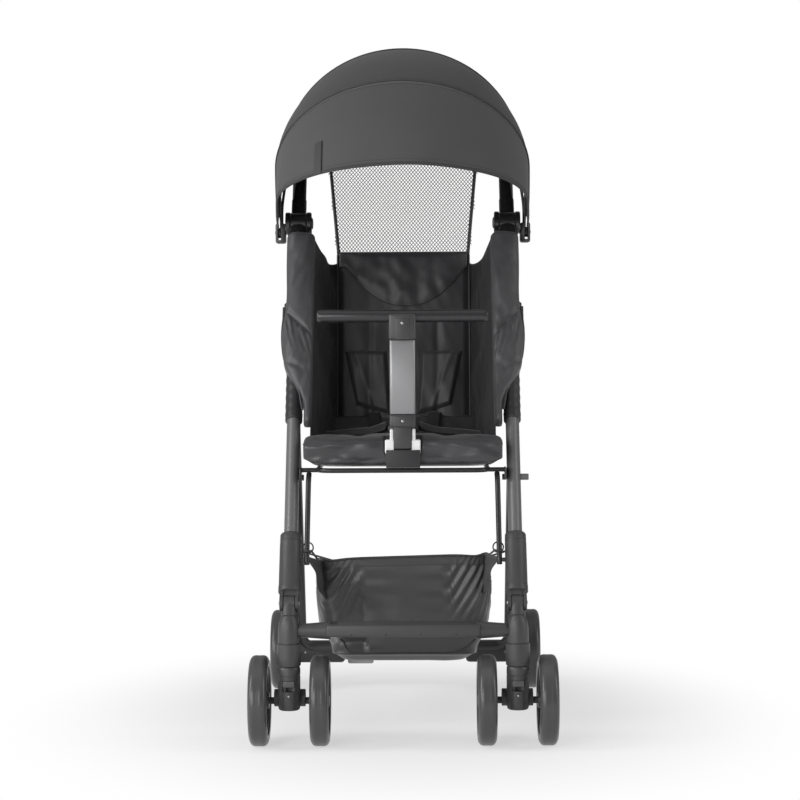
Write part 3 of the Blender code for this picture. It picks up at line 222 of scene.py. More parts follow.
def wire_weave(nodes: Nodes, source: dict) -> dict[str, Socket]:
    """Wire the plain weave: thread height and an uneven shade over the cloth.

    Args:
        nodes: the node tree.
        source: the group's inputs by name.

    Returns:
        The group's outputs by name.
    """
    split = nodes.add("ShaderNodeSeparateXYZ", {0: source["Vector"]}).outputs
    waves = [nodes.maths("SINE", nodes.times(nodes.maths("DIVIDE", split[axis], source["Thread"]), pi))
             for axis in (0, 1)]
    fleck = nodes.noise(source["Vector"], 900.0, 2.0)
    patch = nodes.noise(source["Vector"], 22.0, 4.0)
    streak = nodes.add("ShaderNodeMapping", {"Vector": source["Vector"], "Scale": (900.0, 60.0, 60.0)})
    thread = nodes.noise(streak.outputs[0], 1.0, 1.0)
    mixed = nodes.plus(nodes.times(patch, 0.7), nodes.times(thread, 0.3))
    return {"Height": nodes.plus(nodes.times(nodes.times(*waves), 0.5), nodes.times(fleck, 0.6)),
            "Shade": nodes.swing(mixed, source["Uneven"])}


def wire_grain(nodes: Nodes, source: dict) -> dict[str, Socket]:
    """Wire the fine grain of moulded or painted parts, with dust that settles on what faces up.

    Args:
        nodes: the node tree.
        source: the group's inputs by name.

    Returns:
        The group's outputs by name.
    """
    drawn = nodes.add("ShaderNodeVectorMath", {0: source["Vector"], 1: source["Stretch"]}, operation="MULTIPLY")
    broad = nodes.noise(source["Vector"], 35.0, 3.0)
    facing = nodes.add("ShaderNodeSeparateXYZ", {0: nodes.add("ShaderNodeNewGeometry").outputs["Normal"]})
    upward = nodes.add("ShaderNodeMapRange", {0: facing.outputs[2], 1: 0.3, 2: 1.0, 3: 0.0, 4: 1.0})
    return {"Height": nodes.noise(drawn.outputs[0], source["Grain"], 3.0),
            "Shade": nodes.swing(broad, source["Uneven"]),
            "Dust": nodes.times(upward.outputs[0], broad)}


class Spread(Enum):
    """Where a pattern takes its coordinates from."""

    CLOTH = "the piece's own flat map"
    LEVEL = "the object's X and Y"
    UPRIGHT = "the object's X and Z"


@dataclass(frozen=True)
class Finish:
    """What a piece is made of; its material is made at its first use."""

    name: str
    colour: Colour

    def material(self) -> bpy.types.Material:
        """Return the finish's material.

        Returns:
            The material.
        """
        if self.name in bpy.data.materials:
            return bpy.data.materials[self.name]
        material = bpy.data.materials.new(self.name)
        material.use_nodes = True
        self.paint(Nodes(material.node_tree), material.node_tree.nodes["Principled BSDF"])
        return material

    def tint(self, nodes: Nodes, shade: Socket) -> Socket:
        """Return the colour in an uneven shade."""
        return nodes.add("ShaderNodeVectorMath", {0: self.colour, "Scale": shade}, operation="SCALE").outputs[0]

    def paint(self, nodes: Nodes, shader: bpy.types.Node) -> None:
        """Wire the shader."""
        raise NotImplementedError


@dataclass(frozen=True)
class Cloth(Finish):
    """A woven cloth finish."""

    roughness: float = 0.8
    thread: float = 0.0007
    relief: float = 0.00006
    uneven: float = 0.12
    sheen: float = 0.15
    spread: Spread = Spread.CLOTH

    def paint(self, nodes: Nodes, shader: bpy.types.Node) -> None:
        """Wire the weave over the cloth's own map or the object's space.

        Args:
            nodes: the node tree.
            shader: the surface shader.
        """
        place = nodes.add("ShaderNodeTexCoord").outputs["UV" if self.spread is Spread.CLOTH else "Object"]
        if self.spread is Spread.UPRIGHT:
            place = nodes.add("ShaderNodeMapping", {"Vector": place, "Rotation": (pi / 2, 0.0, 0.0)}).outputs[0]
        weave = nodes.group("cloth weave", wire_weave, {
            "Vector": ("Vector", place), "Thread": ("Float", self.thread), "Uneven": ("Float", self.uneven)})
        relief = nodes.add("ShaderNodeBump", {"Strength": 0.6, "Distance": self.relief, "Height": weave["Height"]})
        nodes.feed(shader, {"Base Color": self.tint(nodes, weave["Shade"]), "Normal": relief.outputs[0],
                            "Roughness": self.roughness, "Sheen Weight": self.sheen, "Sheen Roughness": 0.5,
                            "Specular IOR Level": 0.5})


@dataclass(frozen=True)
class Hard(Finish):
    """A moulded, painted or metal finish."""

    roughness: float = 0.45
    metallic: float = 0.0
    grain: float = 700.0
    relief: float = 0.00003
    uneven: float = 0.08
    stretch: Point = (1.0, 1.0, 1.0)
    dust: float = 0.05
    coat: float = 0.0

    def paint(self, nodes: Nodes, shader: bpy.types.Node) -> None:
        """Wire the grain and the dust over the object's space.

        Args:
            nodes: the node tree.
            shader: the surface shader.
        """
        grain = nodes.group("moulded grain", wire_grain, {
            "Vector": ("Vector", nodes.add("ShaderNodeTexCoord").outputs["Object"]),
            "Grain": ("Float", self.grain), "Uneven": ("Float", self.uneven), "Stretch": ("Vector", self.stretch)})
        dusty = nodes.add("ShaderNodeMix", {0: nodes.times(grain["Dust"], self.dust),
                                            6: self.tint(nodes, grain["Shade"]), 7: DUST_COLOUR}, data_type="RGBA")
        swing = nodes.times(nodes.maths("SUBTRACT", grain["Height"], 0.5), 0.12)
        relief = nodes.add("ShaderNodeBump", {"Strength": 0.5, "Distance": self.relief, "Height": grain["Height"]})
        nodes.feed(shader, {"Base Color": dusty.outputs[2], "Roughness": nodes.plus(swing, self.roughness),
                            "Normal": relief.outputs[0], "Metallic": self.metallic, "Coat Weight": self.coat})


DUST_COLOUR = (0.35, 0.35, 0.34, 1.0)


def grey(level: float, blue: float = 0.002) -> Colour:
    """Return a neutral grey with a touch of blue."""
    return (level, level, level + blue)


CANOPY_CLOTH = Cloth("canopy cloth", grey(0.056), 0.8, uneven=0.06, sheen=0.1)
# The canopy cloth again, painted darker for the top panel: painted shade for the lesser light that the top gets, not a
# different cloth.
CANOPY_TOP_SHADED_CLOTH = Cloth("canopy top cloth", grey(0.042), 0.8, uneven=0.06, sheen=0.08)
CANOPY_TRIM = Cloth("canopy piping", grey(0.03, 0.001), 0.75, sheen=0.1, spread=Spread.UPRIGHT)
WING_CLOTH = Cloth("wing cloth", grey(0.048, 0.003), 0.48, thread=0.0005, uneven=0.1, sheen=0.12)
SEAT_CLOTH = Cloth("seat cloth", grey(0.034, 0.003), 0.46, thread=0.0004, uneven=0.12, sheen=0.1,
                   spread=Spread.UPRIGHT)
CUSHION_CLOTH = Cloth("cushion cloth", grey(0.038, 0.003), 0.34, thread=0.0004, uneven=0.12, sheen=0.12,
                      spread=Spread.LEVEL)
PAD_CLOTH = Cloth("strap pad cloth", grey(0.054, 0.003), 0.5, thread=0.0004, uneven=0.1, sheen=0.1,
                  spread=Spread.UPRIGHT)
SIDE_CLOTH = Cloth("side panel cloth", grey(0.015), 0.5, thread=0.0004, uneven=0.12, sheen=0.08)
BASKET_CLOTH = Cloth("basket cloth", grey(0.046), 0.36, thread=0.0005, uneven=0.14, sheen=0.16)
WEBBING = Cloth("webbing", grey(0.022, 0.001), 0.65, thread=0.0016, relief=0.00015, uneven=0.1, spread=Spread.UPRIGHT)
NET_YARN = Cloth("net yarn", grey(0.03, 0.001), 0.7, thread=0.0003, uneven=0.08, spread=Spread.UPRIGHT)
PIPING = Cloth("seam piping", grey(0.024), 0.5, thread=0.0004, uneven=0.08, spread=Spread.UPRIGHT)
STITCH = Cloth("sewing thread", grey(0.04), 0.6, thread=0.0002, uneven=0.05, spread=Spread.UPRIGHT)
LEG_FINISH = Hard("leg tube paint", grey(0.138, 0.004), 0.4, 0.2, 1400.0, 0.00001, 0.05, dust=0.02)
REAR_FINISH = Hard("rear tube paint", grey(0.04), 0.38, 0.2, 1400.0, 0.00001, 0.05)
MOULDED = Hard("moulded plastic", grey(0.046), 0.46, 0.0, 900.0)
DARK_MOULDED = Hard("dark moulded plastic", grey(0.022), 0.42, 0.0, 900.0)
GLOSSY = Hard("glossy plastic", grey(0.014, 0.001), 0.2, 0.0, 500.0, 0.000008, 0.04, coat=0.3, dust=0.01)
BAR_FINISH = Hard("bar cover", grey(0.024), 0.24, 0.0, 600.0, 0.00001, 0.04)
HEAD_FINISH = Hard("bracket plastic", grey(0.04), 0.4, 0.0, 900.0)
GREY_PLASTIC = Hard("grey plastic", grey(0.1, 0.004), 0.48, 0.0, 900.0)
PEDAL_FINISH = Hard("pedal plastic", grey(0.36, 0.005), 0.5, 0.0, 800.0)
POST_FINISH = Hard("post satin metal", grey(0.29, 0.006), 0.44, 0.6, 1800.0, 0.00001, 0.04,
                   stretch=(1.0, 1.0, 0.03), dust=0.02)
WIRE_FINISH = Hard("wire paint", grey(0.034), 0.36, 0.5, 1400.0, 0.00001)
BOLT_FINISH = Hard("bolt steel", grey(0.42, 0.005), 0.3, 0.9, 1200.0, 0.00001)
TYRE_FINISH = Hard("tyre rubber", grey(0.056), 0.3, 0.0, 500.0, 0.00004, 0.1, dust=0.12)
RIM_FINISH = Hard("rim plastic", grey(0.03), 0.38, 0.0, 800.0)
FOAM = Hard("grip foam", grey(0.018, 0.001), 0.85, 0.0, 1600.0, 0.0002, 0.1)
NYLON = Hard("white nylon", grey(0.78, -0.005), 0.45, 0.0, 900.0, dust=0.0)


def link(name: str, mesh: bpy.types.Mesh) -> Piece:
    """Link a new object with this mesh to the scene.

    Args:
        name: the object's name.
        mesh: its mesh.

    Returns:
        The object.
    """
    piece = bpy.data.objects.new(name, mesh)
    bpy.context.scene.collection.objects.link(piece)
    return piece


def remove(pieces: Sequence[Piece]) -> None:
    """Remove objects from the file."""
    for piece in pieces:
        bpy.data.objects.remove(piece, do_unlink=True)


def write_flat(piece: Piece, flat: np.ndarray) -> None:
    """Give each face corner the flat place of its point, in metres, for its weave.

    Args:
        piece: the object.
        flat: one flat place for each point.
    """
    mesh = piece.data
    layer = mesh.uv_layers[0] if mesh.uv_layers else mesh.uv_layers.new(name="flat")
    corners = np.zeros(len(mesh.loops), np.int32)
    mesh.loops.foreach_get("vertex_index", corners)
    layer.data.foreach_set("uv", flat[corners].astype(np.float32).ravel())


def places_of(piece: Piece) -> np.ndarray:
    """Return the points of a mesh, one to a row.

    Args:
        piece: the object.

    Returns:
        One row for each point.
    """
    places = np.zeros(len(piece.data.vertices) * 3)
    piece.data.vertices.foreach_get("co", places)
    return places.reshape(-1, 3)


def flat_map(piece: Piece, across: int, along: int) -> Piece:
    """Give a body a cloth map from two of its own axes, in metres."""
    write_flat(piece, places_of(piece)[:, [across, along]])
    return piece


def add_mesh(name: str, points: Sequence, faces: Sequence, flat: np.ndarray | None = None) -> Piece:
    """Make an object from points and faces.

    Args:
        name: the piece's name.
        points: the points, in the object's frame.
        faces: point numbers of each face.
        flat: the cloth's flat place of each point, in metres.

    Returns:
        The new object, linked to the scene.
    """
    mesh = bpy.data.meshes.new(name)
    mesh.from_pydata([tuple(p) for p in points], [], list(faces))
    piece = link(name, mesh)
    if flat is not None:
        write_flat(piece, flat)
    mesh.shade_smooth()
    return piece


@contextmanager
def editing(piece: Piece) -> Iterator[bmesh.types.BMesh]:
    """Open a piece's mesh for changes, then write it back.

    Args:
        piece: the object.

    Returns:
        The mesh while it is open.
    """
    shape = bmesh.new()
    shape.from_mesh(piece.data)
    yield shape
    shape.to_mesh(piece.data)
    shape.free()


def sharpen(piece: Piece, degrees: float) -> Piece:
    """Shade a piece smooth, except over edges steeper than an angle.

    Args:
        piece: the object.
        degrees: the angle.

    Returns:
        The object.
    """
    piece.data.shade_smooth()
    piece.data.set_sharp_from_angle(angle=radians(degrees))
    return piece


def face_out(piece: Piece) -> Piece:
    """Turn a closed mesh's faces outwards.

    Args:
        piece: the object.

    Returns:
        The object.
    """
    with editing(piece) as shape:
        bmesh.ops.recalc_face_normals(shape, faces=shape.faces)
        if shape.calc_volume(signed=True) < 0.0:
            bmesh.ops.reverse_faces(shape, faces=shape.faces)
    return piece


def grid_faces(rows: int, columns: int, ring_rows: bool = False, ring_columns: bool = False) -> list[tuple]:
    """Return the quads of a grid of points.

    Args:
        rows: rows of points.
        columns: points in a row.
        ring_rows: join the last row to the first.
        ring_columns: join the ends of each row.

    Returns:
        The point numbers of each quad, row by row.
    """
    return [(r * columns + c, r * columns + (c + 1) % columns,
             (r + 1) % rows * columns + (c + 1) % columns, (r + 1) % rows * columns + c)
            for r in range(rows if ring_rows else rows - 1)
            for c in range(columns if ring_columns else columns - 1)]


def grid_shares(columns: int, rows: int) -> list[tuple[float, float]]:
    """Return the shares across and along of a sheet's points, row by row."""
    return [(c / columns, r / rows) for r in range(rows + 1) for c in range(columns + 1)]


def woven(name: str, surface: Surface, columns: int, rows: int, size: tuple[float, float]) -> Piece:
    """Make an open sheet from a function of two shares from 0 to 1.

    Args:
        name: the piece's name.
        surface: gives the point at (across, along).
        columns: cells across.
        rows: cells along.
        size: the sheet's flat width and length, for its weave.

    Returns:
        The sheet.
    """
    shares = grid_shares(columns, rows)
    return add_mesh(name, [surface(u, v) for u, v in shares], grid_faces(rows + 1, columns + 1),
                    np.array(shares) * np.array(size))


def pillow(name: str, front: Surface, back: Surface, columns: int, rows: int, size: tuple[float, float]) -> Piece:
    """Make a closed pad between two surfaces of the same shares, joined round their border.

    Args:
        name: the object's name.
        front: the surface in front.
        back: the one behind.
        columns: steps across.
        rows: steps along.
        size: flat width and length.

    Returns:
        The object.
    """
    shares = grid_shares(columns, rows)
    wide, count = columns + 1, len(shares)
    points = [front(u, v) for u, v in shares] + [back(u, v) for u, v in shares]
    faces = []
    for quad in grid_faces(rows + 1, wide):
        faces += [quad, tuple(i + count for i in reversed(quad))]
    border = ([c for c in range(columns)] + [r * wide + columns for r in range(rows)]
              + [rows * wide + c for c in range(columns, 0, -1)] + [r * wide for r in range(rows, 0, -1)])
    for first, second in zip(border, border[1:] + border[:1]):
        faces.append((first, first + count, second + count, second))
    return face_out(add_mesh(name, points, faces, np.array(shares + shares) * np.array(size)))


def loft(name: str, rings: Sequence[Sequence[Vector]], degrees: float = 0.0) -> Piece:
    """Join rings of equal point counts into one closed body.

    Args:
        name: the piece's name.
        rings: the rings, in order.
        degrees: angle over which an edge stays sharp, or 0 for none.

    Returns:
        The body.
    """
    rows, count = len(rings), len(rings[0])
    faces = grid_faces(rows, count, ring_columns=True)
    faces += [tuple(reversed(range(count))), tuple((rows - 1) * count + step for step in range(count))]
    piece = face_out(add_mesh(name, [point for ring in rings for point in ring], faces))
    return sharpen(piece, degrees) if degrees else piece


def lathe(name: str, profile: Sequence[tuple[float, float]], centre: Sequence[float], axis: Vector,
          steps: int = 64) -> Piece:
    """Turn a closed or axis-to-axis profile about an axis.

    Args:
        name: the piece's name.
        profile: (radius, place along the axis) points.
        centre: a point of the axis, where the place is 0.
        axis: the axis' direction.
        steps: sides of the turned shape.

    Returns:
        The closed piece.
    """
    turn = Z_AXIS.rotation_difference(axis.normalized()).to_matrix()
    centre = Vector(centre)
    points = []
    for angle in (tau * step / steps for step in range(steps)):
        points += [centre + turn @ at(radius * cos(angle), radius * sin(angle), place) for radius, place in profile]
    piece = add_mesh(name, points, grid_faces(steps, len(profile), True, True))
    with editing(piece) as shape:
        bmesh.ops.remove_doubles(shape, verts=shape.verts, dist=1e-6)
        bmesh.ops.dissolve_degenerate(shape, edges=shape.edges, dist=1e-7)
        bmesh.ops.recalc_face_normals(shape, faces=shape.faces)
    return sharpen(piece, 32)


def rod(start: Sequence[float], end: Sequence[float], radius: float, end_radius: float | None = None,
        chamfer: float = 0.0005, steps: int = 40) -> Piece:
    """Make a round bar or cone between two points, its ends slightly chamfered.

    Args:
        start: one end.
        end: the other end.
        radius: its radius.
        end_radius: radius at the other end, if it differs.
        chamfer: width of the cut at the ends.
        steps: points round it.

    Returns:
        The object.
    """
    start, end = Vector(start), Vector(end)
    last = radius if end_radius is None else end_radius
    length = (end - start).length
    profile = [(0.0, 0.0), (radius - chamfer, 0.0), (radius, chamfer), (last, length - chamfer),
               (last - chamfer, length), (0.0, length)]
    return lathe("rod", profile, start, end - start, steps)


def pin(middle: Vector, half: float, radius: float, **finer: float) -> Piece:
    """Make a round bar across the object about a point, half as long as given on each side."""
    return rod(middle - X_AXIS * half, middle + X_AXIS * half, radius, **finer)


def block(name: str, size: Point, centre: Sequence[float], rounding: float = 0.0, turn: Matrix | None = None) -> Piece:
    """Make a box with rounded edges, turned about its centre.

    Args:
        name: the object's name.
        size: its measures.
        centre: its middle.
        rounding: radius of its edges.
        turn: its rotation.

    Returns:
        The object.
    """
    shape = bmesh.new()
    bmesh.ops.create_cube(shape, size=1.0, matrix=Matrix.Diagonal((*size, 1.0)))
    if rounding:
        bmesh.ops.bevel(shape, geom=shape.edges, offset=rounding, segments=3, profile=0.5, affect="EDGES")
    place = Matrix.Translation(centre) @ (turn.to_4x4() if turn else Matrix.Identity(4))
    bmesh.ops.transform(shape, matrix=place, verts=shape.verts)
    mesh = bpy.data.meshes.new(name)
    shape.to_mesh(mesh)
    shape.free()
    return sharpen(link(name, mesh), 35)


def joined(name: str, pieces: Sequence[Piece]) -> Piece:
    """Join pieces of one body and one finish into one object.

    Args:
        name: the object's name.
        pieces: the objects.

    Returns:
        The object.
    """
    shape = bmesh.new()
    for piece in pieces:
        shape.from_mesh(piece.data)
    mesh = bpy.data.meshes.new(name)
    shape.to_mesh(mesh)
    shape.free()
    remove(pieces)
    return link(name, mesh)


def as_plain(piece: Piece) -> Piece:
    """Turn a piece's modifiers into its mesh.

    Args:
        piece: the object.

    Returns:
        The object.
    """
    bpy.context.view_layer.update()
    graph = bpy.context.evaluated_depsgraph_get()
    mesh = bpy.data.meshes.new_from_object(piece.evaluated_get(graph))
    piece.modifiers.clear()
    piece.data = mesh
    mesh.name = piece.name
    return piece


def merged(name: str, solids: Sequence[Piece], cuts: Sequence[Piece] = (), late: Sequence[Piece] = ()) -> Piece:
    """Unite solids, cut others out, unite the late ones and keep one plain mesh.

    Args:
        name: the object's name.
        solids: what is united.
        cuts: what is cut out.
        late: what is united after the cuts.

    Returns:
        The object.
    """
    body = solids[0]
    body.name = name
    for group, operation in ((solids[1:], "UNION"), (cuts, "DIFFERENCE"), (late, "UNION")):
        for tool in group:
            step = body.modifiers.new("join", "BOOLEAN")
            step.operation = operation
            step.object = tool
    as_plain(body)
    remove([*solids[1:], *cuts, *late])
    return sharpen(body, 32)


def thicken(piece: Piece, thickness: float, offset: float = 0.0) -> Piece:
    """Give an open sheet its thickness.

    Args:
        piece: the object.
        thickness: its thickness.
        offset: -1 inwards, 1 outwards.

    Returns:
        The object.
    """
    wall = piece.modifiers.new("thickness", "SOLIDIFY")
    wall.thickness = thickness
    wall.offset = offset
    return as_plain(piece)


def refine(node: str, name: str, edge: float, angle: float = 38.0) -> Piece:
    """Copy a frame node as one smooth mesh whose edges are slightly rounded.

    Args:
        node: the frame's node.
        name: the object's name.
        edge: width of the rounded edges.
        angle: smallest angle that counts as an edge, in degrees.

    Returns:
        The object.
    """
    piece = link(name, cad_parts[node].data.copy())
    with editing(piece) as shape:
        bmesh.ops.remove_doubles(shape, verts=shape.verts, dist=2e-6)
        bmesh.ops.dissolve_limit(shape, angle_limit=radians(0.6), verts=shape.verts, edges=shape.edges)
    for attribute in [a for a in piece.data.attributes if a.name == "custom_normal"]:
        piece.data.attributes.remove(attribute)
    rounding = sharpen(piece, angle).modifiers.new("rounded edges", "BEVEL")
    rounding.width = edge
    rounding.segments = 2
    rounding.limit_method = "ANGLE"
    rounding.angle_limit = radians(angle)
    rounding.harden_normals = True
    return piece


def area_of(piece: Piece) -> float:
    """Return the area of a piece's faces, in square metres."""
    return sum(polygon.area for polygon in piece.data.polygons)


def finish_sheet(piece: Piece, columns: int, rows: int, thickness: float,
                 extra: Sequence[Piece] = ()) -> Piece:
    """Args:
        piece: the sheet, still open.
        columns: its cells across.
        rows: its cells along.
        thickness: the cloth's thickness.
        extra: pieces sewn on it; not used.

    Returns:
        The closed sheet.
    """
    grid = places_of(piece).reshape(rows + 1, columns + 1, 3)
    width, length = (float(np.linalg.norm(np.diff(grid, axis=axis), axis=2).sum(axis=axis).max()) for axis in (1, 0))
    area = area_of(piece)
    LOG.info("%s is cut from %.3f x %.3f m, %.4f m2", piece.name, width, length, area)
    thicken(piece, thickness)
    list(extra)
    return piece


def tube(name: str, path: Sequence[Sequence[float]], radius: float | Callable[[float], float], sides: int = 16,
         flat: float = 1.0) -> Piece:
    """Make a round or flattened tube along a path, closed at both ends.

    Args:
        name: the piece's name.
        path: points of the centre line.
        radius: the radius, or its function of the share of the length.
        sides: corners of the section.
        flat: height of the section over its width.

    Returns:
        The tube.
    """
    path = [Vector(point) for point in path]
    lengths = [0.0]
    for before, after in zip(path, path[1:]):
        lengths.append(lengths[-1] + (after - before).length)
    tangents = [(path[min(i + 1, len(path) - 1)] - path[max(i - 1, 0)]).normalized() for i in range(len(path))]
    side = tangents[0].orthogonal().normalized()
    if abs(tangents[0].z) < 0.9:
        side = tangents[0].cross(Z_AXIS).normalized()
    rings = []
    for i, centre in enumerate(path):
        if i:
            side = (tangents[i - 1].rotation_difference(tangents[i]) @ side).normalized()
        up = tangents[i].cross(side).normalized()
        size = radius(lengths[i] / lengths[-1]) if callable(radius) else radius
        rings.append([centre + side * (size * cos(angle)) + up * (size * flat * sin(angle))
                      for angle in (tau * step / sides for step in range(sides))])
    return loft(name, rings, 50.0)


def curve_through(points: Sequence, steps: int = 6) -> list[Vector]:
    """Return a smooth path through points.

    Args:
        points: the points.
        steps: steps between two points.

    Returns:
        The path.
    """
    points = [Vector(point) for point in points]
    ends = [points[0] * 2 - points[1]] + points + [points[-1] * 2 - points[-2]]
    path = []
    for a, b, c, d in zip(ends, ends[1:], ends[2:], ends[3:]):
        for step in range(steps):
            t = step / steps
            path.append(0.5 * (2 * b + (c - a) * t + (2 * a - 5 * b + 4 * c - d) * t * t
                               + (3 * b - a - 3 * c + d) * t * t * t))
    return path + [points[-1]]


def rounded_path(corners: Sequence, radius: float, steps: int = 10) -> list[Vector]:
    """Return a path of straight runs joined by arcs.

    Args:
        corners: the corners.
        radius: radius of the arcs.
        steps: steps of an arc.

    Returns:
        The path.
    """
    corners = [Vector(corner) for corner in corners]
    path = [corners[0]]
    for before, corner, after in zip(corners, corners[1:], corners[2:]):
        towards = (before - corner).normalized()
        away = (after - corner).normalized()
        half = towards.angle(away) / 2
        centre = corner + (towards + away).normalized() * (radius / sin(half))
        first = corner + towards * (radius / tan(half)) - centre
        last = corner + away * (radius / tan(half)) - centre
        axis = first.cross(last).normalized()
        for step in range(steps + 1):
            path.append(centre + Matrix.Rotation(first.angle(last) * step / steps, 3, axis) @ first)
    return path + [corners[-1]]


def spaced(path: Sequence[Vector], step: float) -> list[tuple[Vector, Vector]]:
    """Return evenly spaced points of a path, each with the path's direction.

    Args:
        path: the path.
        step: distance of the points.

    Returns:
        Pairs of point and direction.
    """
    found, left = [], step / 2
    for before, after in zip(path, path[1:]):
        run = after - before
        length = run.length
        if length < 1e-9:
            continue
        while left <= length:
            found.append((before + run * (left / length), run.normalized()))
            left += step
        left -= length
    return found


class Copies:
    """Repeats one small mesh over the points of a guide, through Geometry Nodes."""

    def __init__(self, name: str, part: Piece, finish: Finish) -> None:
        """Build the tree.

        Args:
            name: the repeated pieces' name.
            part: the small mesh, removed once the copies are made.
            finish: what the copies are made of.
        """
        self.part = part
        self.tree = bpy.data.node_groups.new(name, "GeometryNodeTree")
        face = self.tree.interface
        for label, kind in (("Geometry", "Geometry"), ("Size", "Float"), ("Seed", "Int"), ("Unevenness", "Float")):
            face.new_socket(label, in_out="INPUT", socket_type="NodeSocket" + kind)
        face.new_socket("Geometry", in_out="OUTPUT", socket_type="NodeSocketGeometry")
        nodes = Nodes(self.tree)
        source = nodes.add("NodeGroupInput").outputs
        info = nodes.add("GeometryNodeObjectInfo", {"Object": part})
        normal, along = (nodes.add("GeometryNodeInputNamedAttribute", {"Name": label}, data_type="FLOAT_VECTOR")
                         for label in ("facing", "along"))
        first = nodes.add("FunctionNodeAlignRotationToVector", {"Vector": normal.outputs[0]}, axis="Z")
        turn = nodes.add("FunctionNodeAlignRotationToVector",
                         {"Rotation": first.outputs[0], "Vector": along.outputs[0]}, axis="X", pivot_axis="Z")
        low = nodes.maths("SUBTRACT", 1.0, source["Unevenness"])
        chance = nodes.add("FunctionNodeRandomValue", {2: low, 3: 1.0, "Seed": source["Seed"]}, data_type="FLOAT")
        placed = nodes.add("GeometryNodeInstanceOnPoints",
                           {"Points": source["Geometry"], "Instance": info.outputs["Geometry"],
                            "Rotation": turn.outputs[0], "Scale": nodes.times(chance.outputs[1], source["Size"])})
        plain = nodes.add("GeometryNodeRealizeInstances", {0: placed.outputs[0]})
        painted = nodes.add("GeometryNodeSetMaterial", {"Geometry": plain.outputs[0], "Material": finish.material()})
        nodes.add("NodeGroupOutput", {0: painted.outputs[0]})

    def over(self, name: str, places: Sequence[tuple[Vector, Vector, Vector]], size: float = 1.0,
             seed: int = 1, unevenness: float = 0.08) -> Piece:
        """Set a copy at each place and return them as one plain mesh.

        Args:
            name: the new piece's name.
            places: point, outward direction and length direction of each copy.
            size: scale of the copies.
            seed: number of the small random changes.
            unevenness: how much smaller a copy may be.

        Returns:
            The copies as one object.
        """
        guide = add_mesh(name, [place for place, _, _ in places], [])
        for label, column in (("facing", 1), ("along", 2)):
            data = guide.data.attributes.new(label, "FLOAT_VECTOR", "POINT").data
            data.foreach_set("vector", np.array([place[column] for place in places], np.float32).ravel())
        step = guide.modifiers.new("copies", "NODES")
        step.node_group = self.tree
        values = {"Size": size, "Seed": seed, "Unevenness": unevenness}
        for socket in self.tree.interface.items_tree:
            if socket.in_out == "INPUT" and socket.name in values:
                step[socket.identifier] = values[socket.name]
        return as_plain(guide)

    def sew(self, name: str, path: Sequence[Vector], out: Callable[[Vector], Vector], lift: float = 0.0,
            step: float = 0.003, seed: int = 3) -> Piece:
        """Sew stitches along a path on a cloth whose outward direction is given for each point."""
        return self.over(name, [(point + out(point) * lift, out(point), along)
                                for point, along in spaced(path, step)], 1.0, seed)

    def done(self) -> None:
        """Remove the small mesh that was repeated."""
        remove([self.part])


def stitch_maker() -> Copies:
    """Return the maker of stitches: short threads that lie along a seam.

    Returns:
        The maker.
    """
    part = tube("stitch thread", [(x * 0.00105, 0.0, 0.00022 - 0.0004 * abs(x) ** 3)
                                  for x in (-1.0, -0.6, 0.0, 0.6, 1.0)], 0.00024, 6)
    return Copies("stitches", part, STITCH)


def rivet_maker() -> Copies:
    """Return the maker of domed rivets and screw heads of 1 mm radius.

    Returns:
        The maker.
    """
    part = lathe("rivet head", [(0.0, 0.00045), (0.0006, 0.0004), (0.0009, 0.00022), (0.001, 0.0),
                                (0.001, -0.0006), (0.0, -0.0006)], Vector(), Z_AXIS, 20)
    return Copies("rivets", part, BOLT_FINISH)


def put(piece: Piece, finish: Finish, body: str | tuple[str, str, Vector, Vector], slot: str,
        *nodes: str, fill: float = 0.0) -> Piece:
    """Give a piece its finish, its body and the frame nodes that it stands for.

    Args:
        piece: the piece.
        finish: what it is made of.
        body: the body that it rides, or two bodies with the ends of the blend between them.
        slot: its material slot; not used.
        *nodes: the frame nodes that it replaces.
        fill: how firmly it is padded, or 0 for a piece that is not padded; not used.

    Returns:
        The piece.
    """
    piece.data.materials.clear()
    piece.data.materials.append(finish.material())
    if isinstance(body, str):
        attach(piece, body)
    else:
        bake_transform(piece, *body)
    if nodes:
        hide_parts(*nodes)
    LOG.info("%s rides %s with %d faces", piece.name, body if isinstance(body, str) else body[:2],
             len(piece.data.polygons))
    return piece


